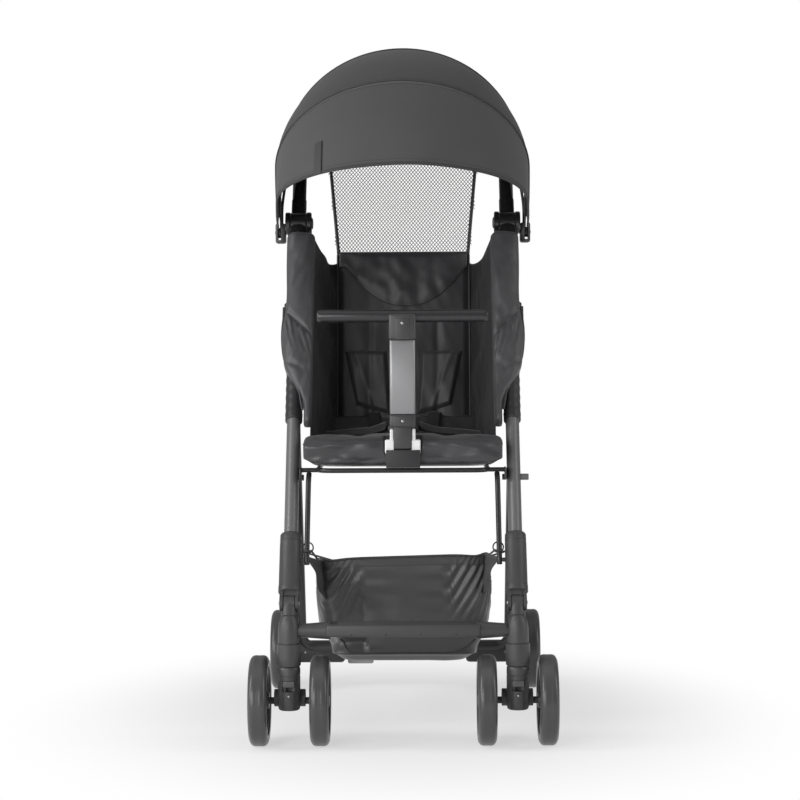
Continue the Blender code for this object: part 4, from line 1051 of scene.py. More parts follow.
@dataclass
class Studio:
    """The camera of the photo, soft lamps, a pale floor and a white surround."""

    distance: float = 3.259
    height: float = 0.5821
    aside: float = 0.0209
    lens: float = 98.86
    pitch: float = 1.998
    roll: float = -0.268
    aim: float = 0.455
    fill: float = 0.26
    glossy: float = 0.22

    def build(self) -> None:
        """Set the camera, the lamps, the world and the floor."""
        scene = bpy.context.scene
        scene.view_settings.view_transform = "Standard"
        data = bpy.data.cameras.new("photo camera")
        data.lens = self.lens
        data.sensor_width = 36.0
        data.clip_end = 60.0
        camera = bpy.data.objects.new("photo camera", data)
        scene.collection.objects.link(camera)
        turn = (Matrix.Rotation(radians(self.aim), 3, "Z")
                @ Matrix.Rotation(radians(90.0 - self.pitch), 3, "X")
                @ Matrix.Rotation(radians(self.roll), 3, "Z"))
        camera.matrix_world = Matrix.Translation((self.aside, -self.distance, self.height)) @ turn.to_4x4()
        scene.camera = camera
        self.world()
        floor = self.floor()
        lamps = [self.lamp("left softbox", (-2.1, -0.9, 1.25), (0.0, 0.0, 0.5), 0.9, 2.0, 32.0),
                 self.lamp("right softbox", (2.2, -0.7, 1.25), (0.0, 0.0, 0.5), 0.9, 2.0, 17.0),
                 self.lamp("top softbox", (0.0, -0.5, 2.6), (0.0, 0.0, 0.4), 2.2, 2.0, 5.0),
                 self.lamp("front softbox", (-1.5, -2.6, 0.85), (0.0, 0.0, 0.4), 1.9, 1.5, 40.0)]
        LOG.info("studio set")

    def world(self) -> None:
        """Light the surround: white where it is seen, softer where it lights."""
        world = bpy.data.worlds.new("surround")
        bpy.context.scene.world = world
        world.use_nodes = True
        nodes = Nodes(world.node_tree)
        path = nodes.add("ShaderNodeLightPath").outputs
        seen = nodes.maths("MAXIMUM", path["Is Camera Ray"], path["Is Transmission Ray"])
        glossy = nodes.times(path["Is Glossy Ray"], self.glossy)
        strength = nodes.maths("MAXIMUM", nodes.maths("MAXIMUM", seen, glossy), self.fill)
        nodes.feed(world.node_tree.nodes["Background"], {"Color": (1.0, 1.0, 1.0, 1.0), "Strength": strength})

    def lamp(self, name: str, place: Point, aim: Point, width: float, height: float, power: float) -> Piece:
        """Set one soft rectangular lamp that faces a point.

        Args:
            name: the lamp's name.
            place: its centre.
            aim: the point that it faces.
            width: its width.
            height: its height.
            power: its power in watts.

        Returns:
            The lamp.
        """
        data = bpy.data.lights.new(name, "AREA")
        data.shape = "RECTANGLE"
        data.size = width
        data.size_y = height
        data.energy = power
        lamp = bpy.data.objects.new(name, data)
        bpy.context.scene.collection.objects.link(lamp)
        lamp.location = place
        lamp.rotation_euler = (Vector(aim) - Vector(place)).to_track_quat("-Z", "Y").to_euler()
        lamp.visible_camera = False
        return lamp

    def floor(self) -> Piece:
        """Lay a pale floor that fades into the white surround away from the object.

        Returns:
            The object.
        """
        floor = add_mesh("floor", [(-14, -6, 0), (14, -6, 0), (14, 16, 0), (-14, 16, 0)], [(0, 1, 2, 3)])
        material = bpy.data.materials.new("pale floor")
        material.use_nodes = True
        nodes = Nodes(material.node_tree)
        shader = material.node_tree.nodes["Principled BSDF"]
        nodes.feed(shader, {"Base Color": (0.9, 0.9, 0.9, 1.0), "Roughness": 0.75, "Specular IOR Level": 0.2})
        place = nodes.add("ShaderNodeTexCoord").outputs["Object"]
        near = nodes.add("ShaderNodeVectorMath", {0: place, 1: (1.0, 0.8, 1.0)}, operation="MULTIPLY")
        reach = nodes.add("ShaderNodeVectorMath", {0: near.outputs[0]}, operation="LENGTH").outputs["Value"]
        fade = nodes.add("ShaderNodeMapRange", {0: reach, 1: 0.22, 2: 0.62, 3: 0.55, 4: 1.0},
                         interpolation_type="SMOOTHSTEP")
        path = nodes.add("ShaderNodeLightPath").outputs
        seen = nodes.maths("MAXIMUM", path["Is Camera Ray"],
                           nodes.maths("MAXIMUM", path["Is Glossy Ray"], path["Is Transmission Ray"]))
        white = nodes.add("ShaderNodeEmission", {"Color": (1.0, 1.0, 1.0, 1.0), "Strength": 1.0})
        mixed = nodes.add("ShaderNodeMixShader", {0: nodes.times(fade.outputs[0], seen), 1: shader.outputs[0],
                                                  2: white.outputs[0]})
        nodes.feed(material.node_tree.nodes["Material Output"], {"Surface": mixed.outputs[0]})
        floor.data.materials.append(material)
        return floor


@dataclass
class Canopy:
    """The sun canopy: a taut top panel, a visor with piping and binding, a back drop and a bare tag."""

    half: float = 0.1874
    narrowing: float = 0.034
    rear_narrowing: float = 0.056
    straight: float = 0.116
    foot: float = 0.024
    rear: tuple[float, float] = (-4.0, 0.2785)
    front: tuple[float, float] = (37.0, 0.264)
    edge: tuple[float, float] = (69.0, 0.246)
    rear_offset: float = 0.0108
    thickness: float = 0.0012
    columns: int = 120

    def arch(self, across: float, angle: float, height: float, behind: float = 0.0, grow: float = 0.0) -> Vector:
        """Return the point of a hoop's line.

        Args:
            across: share of the way from the left foot over the top to the right foot.
            angle: lean of the hoop, in degrees.
            height: its height over the axis.
            behind: shift towards the rear.
            grow: distance outside the hoop's own line.

        Returns:
            The point.
        """
        half, rise = self.half + grow, height + grow - self.straight
        side_run = self.straight - self.foot
        arch_run = 2.0 * (half + rise) * 0.8
        along = across * (2.0 * side_run + arch_run)
        if along < side_run:
            x, radius = -half, self.foot + along
        elif along > side_run + arch_run:
            x, radius = half, self.foot + (2.0 * side_run + arch_run - along)
        else:
            turn = pi * (along - side_run) / arch_run
            turn += 0.1 * sin(2.0 * turn)
            x, radius = -half * cos(turn), self.straight + rise * sin(turn)
        lean = radians(angle)
        forward = radius * sin(lean)
        x *= 1.0 - self.narrowing * smooth(0.03, 0.17, forward)
        x *= 1.0 - self.rear_narrowing * smooth(0.03, self.straight, radius) * (1.0 - smooth(4.0, 36.0, angle))
        return at(x, CANOPY_AXIS[0] + behind - forward, CANOPY_AXIS[1] + radius * cos(lean))

    def crown(self, across: float) -> float:
        """Return how much a place belongs to the canopy's top, from 0 at its sides to 1."""
        return arc(min(1.0, max(0.0, (across - 0.2) / 0.6)))

    def panel(self, first: tuple, last: tuple, sag: float, behind: float) -> Surface:
        """Return the surface between two hoops, drawn in a little between them.

        Args:
            first: lean and height at the rear.
            last: the same at the front.
            sag: depth of the dip.
            behind: shift of the rear edge.

        Returns:
            The surface.
        """
        def place(across: float, along: float) -> Vector:
            """Return one point of the panel.

            Args:
                across: share of the way across.
                along: share of the way along.

            Returns:
                The point.
            """
            angle = first[0] + (last[0] - first[0]) * along
            height = first[1] + (last[1] - first[1]) * along
            dip = -sag * arc(along) * self.crown(across)
            point = self.arch(across, angle, height, behind * (1.0 - along), dip)
            return point + Z_AXIS * (0.002 * crease(point, 13.0, 3.1) * arc(along))
        return place

    def build(self, sew: Copies) -> None:
        """Make the canopy's cloth and trims, sew them and let them fold with the hoops.

        Args:
            sew: the maker of stitches.
        """
        gap = 0.3
        top = woven("canopy_top_panel",
                    self.panel(self.rear, (self.front[0] - gap, self.front[1]), 0.004, self.rear_offset),
                    self.columns, 28, (0.62, 0.19))
        visor = woven("canopy_visor_panel", self.visor, self.columns, 28, (0.6, 0.15))
        back = woven("canopy_back_drop", self.back_drop, 60, 30, (0.34, 0.19))
        trims = [tube("canopy_seam_piping", [self.arch(i / 90, *self.front, 0.0, 0.0012) for i in range(91)],
                      0.0013, 10),
                 tube("canopy_edge_binding", [self.visor(i / 110, 1.0) for i in range(111)], 0.0017, 10, 1.6)]
        rear_seam = [self.arch(i / 90, *self.rear, self.rear_offset, 0.0018) for i in range(91)]
        rear_piping = tube("canopy_rear_piping", rear_seam, 0.0016, 10)
        for name, row in (("canopy_seam_stitches", 0.04), ("canopy_edge_stitches", 0.955)):
            line = [self.visor(i / 200, row) for i in range(201)]
            lean = radians(self.front[0] + (self.edge[0] - self.front[0]) * row)
            trims.append(sew.sew(name, line, lambda point, lean=lean: self.outward(point, lean), 0.0008, 0.0032, 5))
        finish_sheet(visor, self.columns, 28, self.thickness, trims[2:])
        put(visor, CANOPY_CLOTH, "canopy_front", "canopy_cloth", "canopy_visor")
        for piece in trims:
            put(piece, CANOPY_TRIM, "canopy_front", "canopy_cloth")
        finish_sheet(top, self.columns, 28, self.thickness)
        ends = self.arch(0.5, *self.rear, self.rear_offset), self.arch(0.5, *self.front)
        # The top panel takes the darker copy of the canopy cloth: painted shade.
        put(top, CANOPY_TOP_SHADED_CLOTH, ("chassis", "canopy_front", *ends), "canopy_cloth", "canopy_top")
        put(rear_piping, CANOPY_TRIM, "chassis", "canopy_cloth")
        finish_sheet(back, 60, 30, self.thickness)
        put(back, CANOPY_CLOTH, ("chassis", "backrest", at(0.0, 0.085, 0.965), at(0.0, 0.159, 0.847)),
            "canopy_cloth", "canopy_back")
        self.tag()

    def visor(self, across: float, along: float) -> Vector:
        """Return a point of the visor, whose free edge droops towards its middle.

        Args:
            across: share of the way across.
            along: share of the way along.

        Returns:
            The point.
        """
        angle = self.front[0] + 0.3 + (self.edge[0] - self.front[0] - 0.3) * along
        height = self.front[1] + (self.edge[1] - self.front[1]) * along
        point = self.arch(across, angle, height)
        middle = self.crown(across)
        billow = 0.003 * arc(along) * middle
        lean = radians(angle)
        out = at(0.0, -sin(lean), cos(lean))
        point += out * (billow + 0.003 * crease(point, 12.0, 7.7) * along * middle)
        wave = 0.0012 * sin(across * 31.0) * along ** 3
        return point + at(0.0, wave, 0.0)

    def back_drop(self, across: float, along: float) -> Vector:
        """Return a point of the cloth that hangs from the rear hoop to the net's top edge.

        Args:
            across: share of the way across.
            along: share of the way along.

        Returns:
            The point.
        """
        arch_share = 0.17 + 0.66 * across
        high = self.arch(arch_share, self.rear[0] - 0.5, self.rear[1], self.rear_offset)
        low = at((across - 0.5) * 2.0 * 0.1175, 0.159, 0.847)
        low.x = (1.0 if high.x > 0 else -1.0) * min(abs(low.x), 0.1175)
        point = high.lerp(low, along)
        point.y += 0.004 * arc(along) * arc(across)
        return point

    def outward(self, point: Vector, lean: float) -> Vector:
        """Return the canopy's outward direction at a point of it.

        Args:
            point: the point.
            lean: the canopy's lean there, in radians.

        Returns:
            A unit vector.
        """
        radial = at(point.x, point.y - CANOPY_AXIS[0], point.z - CANOPY_AXIS[1])
        side = smooth(0.1, 0.19, abs(point.x))
        up = at(0.0, -sin(lean), cos(lean))
        flat = at(copysign(1.0, point.x), 0.0, 0.0)
        return (radial.normalized() * 0.2 + up * (1.0 - side) + flat * side).normalized()

    def tag(self) -> None:
        """Hang the bare woven tag over the visor's edge, left of the middle."""
        share, top, foot = 0.3, 0.62, 0.98

        def on_visor(across: float, along: float) -> Vector:
            """Return one point of the tag.

            Args:
                across: share of the way across.
                along: share of the way along.

            Returns:
                The point.
            """
            base = self.visor(share, top).lerp(self.visor(share, foot), along)
            shift = self.visor(share + 0.018 * across, top + 0.41 * along)
            return shift + self.outward(base, radians(58.0)) * 0.0016 + FORWARD * 0.0004
        tag = thicken(woven("canopy_tag", on_visor, 6, 20, (0.012, 0.055)), 0.0008)
        put(tag, WEBBING, "canopy_front", "canopy_cloth")


def in_back(x: float, out: float, up: float, origin: Point = (0.0, 0.081, 0.41), lean: float = 13.0) -> Vector:
    """Return a point of the backrest.

    Args:
        x: place across.
        out: distance to the front of the backrest's middle plane.
        up: place along the backrest from its foot.
        origin: the foot's place.
        lean: the backrest's lean in degrees.

    Returns:
        The point in the object's frame.
    """
    turn = radians(lean)
    return at(x, origin[1] + up * sin(turn) - out * cos(turn), origin[2] + up * cos(turn) + out * sin(turn))


@dataclass
class NetWindow:
    """The netted upper back: a stretched diamond net in four bound edges."""

    foot: Point = (0.0, 0.1453, 0.6885)
    lean: float = 5.0
    low_half: float = 0.1025
    top_half: float = 0.1175
    length: float = 0.158
    pitch: float = 0.00515
    rise: float = 0.0061
    strand: float = 0.0005
    tape: float = 0.006

    def point(self, x: float, up: float, out: float = 0.0) -> Vector:
        """Return a point of the window's plane."""
        return in_back(x, out, up, self.foot, self.lean)

    def half(self, up: float) -> float:
        """Return the half width at a height of the window."""
        return self.low_half + (self.top_half - self.low_half) * up / self.length

    def build(self) -> None:
        """Knot the net and bind its edges."""
        wide, tall = self.pitch / 2, self.rise / 2
        arms = [tube("net arm", [(-wide, -across * tall, 0.00012 * across), (0.0, 0.0, -0.00024 * across),
                                 (wide, across * tall, 0.00012 * across)], self.strand, 5) for across in (-1.0, 1.0)]
        maker = Copies("net crossings", joined("net cross", arms), NET_YARN)
        out = self.point(0.0, 0.0, 1.0) - self.point(0.0, 0.0)
        places = []
        rows = int(self.length / self.rise)
        for row in range(rows + 1):
            up = row * self.rise
            columns = int((self.half(up) - 0.001) / self.pitch)
            for column in range(-columns, columns + 1):
                point = self.point(column * self.pitch, min(up, self.length - 0.002), 0.0002)
                places.append((point, out, X_AXIS))
        net = maker.over("net_mesh", places, 1.0, 2, 0.0)
        maker.done()
        put(net, NET_YARN, "backrest", "net", "net_window")
        low, high = self.tape / 2, self.length - self.tape / 2
        lines = {
            "net_side_binding_left": [(-self.half(low) + low, 0.0), (-self.half(high) + low, self.length)],
            "net_side_binding_right": [(self.half(low) - low, 0.0), (self.half(high) - low, self.length)],
            "net_top_binding": [(-self.half(high), high), (self.half(high), high)],
            "net_low_binding": [(-self.half(low), low), (self.half(low), low)],
        }
        for name, (start, end) in lines.items():
            path = [self.point(start[0] + (end[0] - start[0]) * i / 24, start[1] + (end[1] - start[1]) * i / 24)
                    for i in range(25)]
            section = (0.0026, 14) if "side" in name else (self.tape / 2, 14, 0.36)
            put(tube(name, path, *section), PIPING, "backrest", "net")


@dataclass
class SideWings:
    """The padded wings round the leg tubes, with elbow seam, gathers, piping and the side panels."""

    low: float = 0.431
    high: float = 0.711
    inner: float = 0.131

    def outer(self, z: float) -> float:
        """Return the wing's outer edge at a height."""
        taper = smooth(0.45, 0.524, z)
        return 0.1425 + 0.0305 * taper + 0.004 * ridge(z, 0.56, 0.026) - 0.0015 * ridge(z, 0.62, 0.03)

    def ring(self, side: int, share: float, count: int = 72) -> list[Vector]:
        """Return one closed line of cloth round the wing at a share of its height.

        Args:
            side: -1 for left, 1 for right.
            share: share of the way.
            count: number of points.

        Returns:
            The points.
        """
        z = self.low + (self.high - self.low) * share
        end = min(1.0, sqrt(max(0.0, 1.0 - max(0.0, abs(2 * share - 1) - 0.95) ** 2 / 0.0025)))
        inner, outer = self.inner, self.outer(z)
        socket = smooth(0.676, 0.686, z)
        ring = []
        for step in range(count):
            turn = tau * step / count
            c, s = cos(turn), sin(turn)
            across = signed_power(c, 0.75)
            x = (inner + outer) / 2 + across * (outer - inner) / 2 * (0.6 + 0.4 * end)
            if s >= 0.0:
                behind = -0.0085 - (0.0155 * s ** 0.8) * (0.35 + 0.65 * end)
                seam_z = 0.5935 - 0.036 * (self.outer(z) - x) / 0.045
                groove = ridge(z, seam_z, 0.0035)
                behind += 0.005 * groove * s
                below = smooth(-0.062, -0.004, z - seam_z) * (1.0 - smooth(-0.006, 0.0, z - seam_z))
                gather = sin((x + 0.35 * (seam_z - z)) * 620.0 + 2.0 * crease((x, z, 0.0), 30.0, side))
                behind += 0.0018 * gather * below * s
                lean = at(x * 1.6 + 0.5 * z, 0.0, z * 0.8)
                wrinkle = crease(lean, 26.0, 5.0 * side)
                behind += 0.0034 * wrinkle * s + 0.0016 * crease(lean, 64.0, side) * s
                behind += 0.003 * ridge(z, 0.521 - 0.5 * (0.173 - x), 0.004) * s * smooth(0.14, 0.15, x)
            else:
                away = abs(x - LEG_X)
                oval = 0.0136 * sqrt(max(0.0, 1.0 - (away / 0.0102) ** 2))
                room = sqrt(max(0.0, 0.0164 ** 2 - away ** 2))
                tunnel = oval + (room - oval) * socket
                behind = max(-0.0085 + 0.0115 * (-s) ** 0.5 * end, -0.0085)
                behind = min(behind, -tunnel) if tunnel > 0.0005 else behind
            ring.append(leg_point(side, z, behind, x))
        return ring

    def panel(self, side: int) -> Surface:
        """Return the side panel's surface, from the wing back to the backrest.

        Args:
            side: -1 for left, 1 for right.

        Returns:
            The surface.
        """
        def place(across: float, up: float) -> Vector:
            """Return one point of the side panel.

            Args:
                across: share of the way across.
                up: share of the height.

            Returns:
                The point.
            """
            front = leg_point(side, 0.418 + 0.287 * up, -0.004, self.inner + 0.0015)
            rear = at(side * 0.1022, 0.083 + 0.062 * up, 0.414 + 0.26 * up)
            point = front.lerp(rear, across)
            point.z -= 0.014 * 4.0 * across * (1.0 - across) * up ** 4
            slack = arc(across)
            point.x += side * 0.0042 * slack * crease(point, 18.0, 9.0 * side)
            point.x += side * 0.0022 * slack * sin(up * 16.0 + across * 7.0 + side)
            point.x += side * 0.0016 * slack * crease(point, 55.0, 2.0 * side)
            return point
        return place

    def build(self, sew: Copies) -> None:
        """Make both wings and their panels.

        Args:
            sew: the maker of stitches.
        """
        for word, side in SIDES:
            wing = flat_map(loft(f"side_wing_pad_{word}", [self.ring(side, i / 120) for i in range(121)]), 0, 2)
            put(wing, WING_CLOTH, "chassis", "wing_cloth", f"side_wing_{word}", fill=0.5)
            panel = woven(f"side_panel_{word}", self.panel(side), 48, 64, (0.12, 0.24))
            hem = tube(f"side_panel_hem_{word}", [self.panel(side)(i / 40, 1.0) for i in range(41)], 0.0014, 10)
            finish_sheet(panel, 48, 64, 0.0011, [hem])
            for piece, finish in ((panel, SIDE_CLOTH), (hem, PIPING)):
                put(piece, finish, ("chassis", "backrest", at(0.0, -0.03, 0.57), at(0.0, 0.115, 0.55)), "wing_cloth")
            edge = [(0.1738, 0.6, -0.01), (0.1768, 0.562, -0.01), (0.1732, 0.528, -0.0105),
                    (0.1655, 0.5125, -0.0125), (0.156, 0.504, -0.015), (0.1505, 0.485, -0.018),
                    (0.147, 0.465, -0.019), (0.144, 0.45, -0.018)]
            line = curve_through([leg_point(side, z, behind, x) for x, z, behind in edge], 10)
            put(tube(f"wing_piping_{word}", line, 0.0016, 10), PIPING, "chassis", "wing_cloth")
            self.seam(word, side, sew)
            cuff = [leg_oval_ring(side, z, 0.0026 + 0.0003 * sin(z * 520.0) + 0.0004 * ridge(z, 0.444, 0.0015))
                    for z in np.linspace(0.442, 0.532, 46)]
            put(flat_map(loft(f"wing_cuff_{word}", cuff), 0, 2), SIDE_CLOTH, "chassis", "wing_cloth")

    def seam(self, word: str, side: int, sew: Copies) -> None:
        """Sew the elbow seam across the wing's front.

        Args:
            word: the side's name.
            side: -1 for left, 1 for right.
            sew: the maker of stitches.
        """
        line = []
        for i in range(41):
            x = 0.1345 + 0.038 * i / 40
            z = 0.5935 - 0.036 * (self.outer(0.58) - x) / 0.045 + 0.0042
            spread = (x - (self.inner + self.outer(z)) / 2) / ((self.outer(z) - self.inner) / 2)
            s = sqrt(max(0.0, 1.0 - abs(spread) ** 2.667))
            line.append(leg_point(side, z, -0.0085 - 0.0155 * s ** 0.8 + 0.0012 * s - 0.0006, x))
        put(sew.sew(f"elbow_stitches_{word}", line, lambda _: -LEG_BACK), STITCH, "chassis", "wing_cloth")


def leg_oval_ring(side: int, z: float, spare: float, count: int = 40) -> list[Vector]:
    """Return a closed line round the oval leg tube at a height.

    Args:
        side: -1 for left, 1 for right.
        z: the height.
        spare: gap between tube and line.
        count: number of points.

    Returns:
        The points.
    """
    centre = leg_point(side, z)
    return [centre + at((0.00975 + spare) * cos(t), 0.0, 0.0) + LEG_BACK * ((0.013 + spare) * sin(t))
            for t in (tau * i / count for i in range(count))]


@dataclass
class Backrest:
    """The backrest: a soft pad, a head flap sewn over its top, piping and the two shoulder pads."""

    half: float = 0.1025
    foot: float = 0.014
    length: float = 0.288
    thick: float = 0.02

    def front(self, x: float, up: float) -> float:
        """Return how far the pad's front stands out at a place.

        Args:
            x: place across.
            up: place up the backrest.

        Returns:
            The distance.
        """
        u = x / self.half
        v = 2.0 * (up - self.foot) / (self.length - self.foot) - 1.0
        crown = 0.0042 * (1.0 - abs(u) ** 4) * (1.0 - abs(v) ** 6)
        channel = 0.003 * ridge(abs(x), 0.052, 0.0055) * (1.0 - smooth(0.165, 0.205, up))
        wrinkle = 0.0034 * crease((x, 0.0, up * 0.35), 24.0, 2.2)
        wrinkle += 0.0012 * crease((x + 0.3 * up, 1.0, up * 0.4), 60.0, 4.0)
        hollow = 0.002 * ridge(up, 0.15, 0.05) * (1 - u * u)
        return self.thick / 2 + crown - channel + wrinkle * (1 - abs(u) ** 6) - hollow

    def flap_edge(self, x: float) -> float:
        """Return the height of the head flap's lower edge."""
        return 0.2 + 0.063 * (min(1.0, abs(x - 0.004) / 0.092)) ** 2.2

    def build(self, sew: Copies) -> None:
        """Make the pad, its flap, seams, piping and shoulder pads.

        Args:
            sew: the maker of stitches.
        """
        across, tall = 84, 112
        lift = self.length - self.foot

        def pad_front(u: float, v: float) -> Vector:
            """Return one point of the pad's front.

            Args:
                u: share across.
                v: share upward.

            Returns:
                The point.
            """
            x = (2.0 * u - 1.0) * (self.half - 0.001)
            up = self.foot + lift * v
            edge = 1.0 - 0.62 * (1.0 - smooth(0.0, 0.05, min(u, 1.0 - u, v * 1.3, (1.0 - v) * 1.3)))
            return in_back(x, self.front(x, up) * edge, up)

        def pad_back(u: float, v: float) -> Vector:
            """Return one point of the pad's back.

            Args:
                u: share across.
                v: share upward.

            Returns:
                The point.
            """
            x = (2.0 * u - 1.0) * (self.half - 0.002)
            up = self.foot + 0.001 + (lift - 0.002) * v
            wave = 0.0006 * crease((x, 2.0, up), 25.0, 1.0)
            edge = 0.5 + 0.5 * smooth(0.0, 0.04, min(u, 1.0 - u, v, 1.0 - v))
            return in_back(x, -(self.thick / 2 - 0.0006) * edge - wave, up)

        pad = pillow("backrest_cushion", pad_front, pad_back, across, tall, (0.205, 0.274))
        put(pad, SEAT_CLOTH, "backrest", "seat_cloth", "backrest_pad", fill=0.6)

        def flap_front(u: float, v: float) -> Vector:
            """Return one point of the flap's front.

            Args:
                u: share across.
                v: share upward.

            Returns:
                The point.
            """
            x = (2.0 * u - 1.0) * (self.half - 0.004)
            low = self.flap_edge(x)
            up = low + (self.length - 0.002 - low) * v
            puff = 0.0032 * min(1.0, sin(pi * min(0.5, v * 1.6))) * (1 - abs(2 * u - 1) ** 8)
            puff += 0.002 * crease((x * 2.0, 0.0, up * 1.4), 34.0, 8.0) * (1.0 - v * 0.4)
            puff *= 1.0 - smooth(0.9, 1.0, v) * 0.7
            return in_back(x, self.front(x, up) + 0.0006 + puff, up)

        def flap_back(u: float, v: float) -> Vector:
            """Return one point of the flap's back.

            Args:
                u: share across.
                v: share upward.

            Returns:
                The point.
            """
            x = (2.0 * u - 1.0) * (self.half - 0.0042)
            low = self.flap_edge(x)
            up = low + 0.0006 + (self.length - 0.003 - low) * v
            return in_back(x, min(self.front(x, up) - 0.004, 0.008), up)

        flap = pillow("head_flap", flap_front, flap_back, 84, 44, (0.2, 0.08))
        put(flap, SEAT_CLOTH, "backrest", "seat_cloth", fill=0.5)
        edge_line = []
        for i in range(81):
            x = (i / 40 - 1.0) * (self.half - 0.005)
            up = self.flap_edge(x) + 0.0008
            edge_line.append(in_back(x, self.front(x, up) + 0.0012, up))
        put(tube("head_flap_piping", edge_line, 0.0008, 10), PIPING, "backrest", "seat_cloth")
        line = [point + at(0.0, -0.0045, 0.0045 * 0.97) for point in edge_line]
        put(sew.sew("flap_stitches_0", line, lambda _: self.out()), STITCH, "backrest", "seat_cloth")
        for word, side in SIDES:
            line = [in_back(side * (self.half - 0.0012), 0.0052, up)
                    for up in np.linspace(self.foot + 0.004, self.length - 0.004, 60)]
            put(tube(f"backrest_piping_{word}", line, 0.0015, 10), SEAT_CLOTH, "backrest", "seat_cloth")
            self.shoulder_pad(word, side, sew)
        self.skirt()

    def skirt(self) -> None:
        """Hang the cloth that joins the backrest's foot to the seat."""
        def place(across: float, up: float) -> Vector:
            """Return one point of the skirt.

            Args:
                across: share of the way across.
                up: share of the height.

            Returns:
                The point.
            """
            x = (2.0 * across - 1.0) * 0.115
            point = at(x, 0.056, 0.4075).lerp(in_back(x, 0.011, 0.03), up)
            return point + at(0.0, 0.002 * crease(point, 40.0, 3.0) * arc(up), 0.0)
        skirt = woven("backrest_skirt", place, 60, 12, (0.23, 0.03))
        finish_sheet(skirt, 60, 12, 0.0011)
        put(skirt, SEAT_CLOTH, ("chassis", "backrest", at(0.0, 0.058, 0.415), at(0.0, 0.078, 0.436)), "seat_cloth")

    def out(self) -> Vector:
        """Return the direction in which the backrest faces."""
        return in_back(0.0, 1.0, 0.0) - in_back(0.0, 0.0, 0.0)

    def shoulder_pad(self, word: str, side: int, sew: Copies) -> None:
        """Make one wide padded shoulder strap end that lies on the pad and narrows to its foot.

        Args:
            word: the side's name.
            side: -1 for left, 1 for right.
            sew: the maker of stitches.
        """
        def spot(u: float, v: float, inset: float) -> tuple[float, float]:
            """Return where a place of the pad lies on the backrest.

            Args:
                u: share across.
                v: share upward.
                inset: distance to the pad's rim.

            Returns:
                The same place on the pad, across and up.
            """
            inner, outer = 0.02 + 0.006 * v + inset, 0.0725 + 0.017 * v - inset
            low, high = 0.0315 + 0.015 * u + inset, 0.1305 - inset
            return side * (inner + (outer - inner) * u), low + (high - low) * v

        def face(u: float, v: float) -> Vector:
            """Return one point of the pad's face.

            Args:
                u: share across.
                v: share upward.

            Returns:
                The point.
            """
            x, up = spot(u, v, 0.0)
            edge = smooth(0.0, 0.1, min(u, 1.0 - u, v * 1.5, (1.0 - v) * 1.5))
            fold = 0.0018 * ridge(u, 0.78 - 0.35 * (1.0 - v), 0.07)
            fold += 0.0026 * crease((x, 3.0, up * 0.7), 36.0, side)
            return in_back(x, self.front(x, up) + 0.0012 + (0.0068 + fold) * edge, up)

        def rest(u: float, v: float) -> Vector:
            """Return one point of the side that rests on the backrest."""
            x, up = spot(u, v, 0.001)
            return in_back(x, self.front(x, up) - 0.0004, up)
        pad = pillow(f"shoulder_strap_pad_{word}", face, rest, 44, 56, (0.06, 0.098))
        put(pad, PAD_CLOTH, "backrest", "seat_cloth", f"shoulder_pad_{word}", fill=0.6)
        for where, share in (("in", 0.07), ("out", 0.93)):
            seam = [face(share, v) + self.out() * 0.0004 for v in np.linspace(0.06, 0.94, 30)]
            put(sew.sew(f"strap_stitches_{word}_{where}", seam, lambda _: self.out()), STITCH, "backrest",
                "seat_cloth")


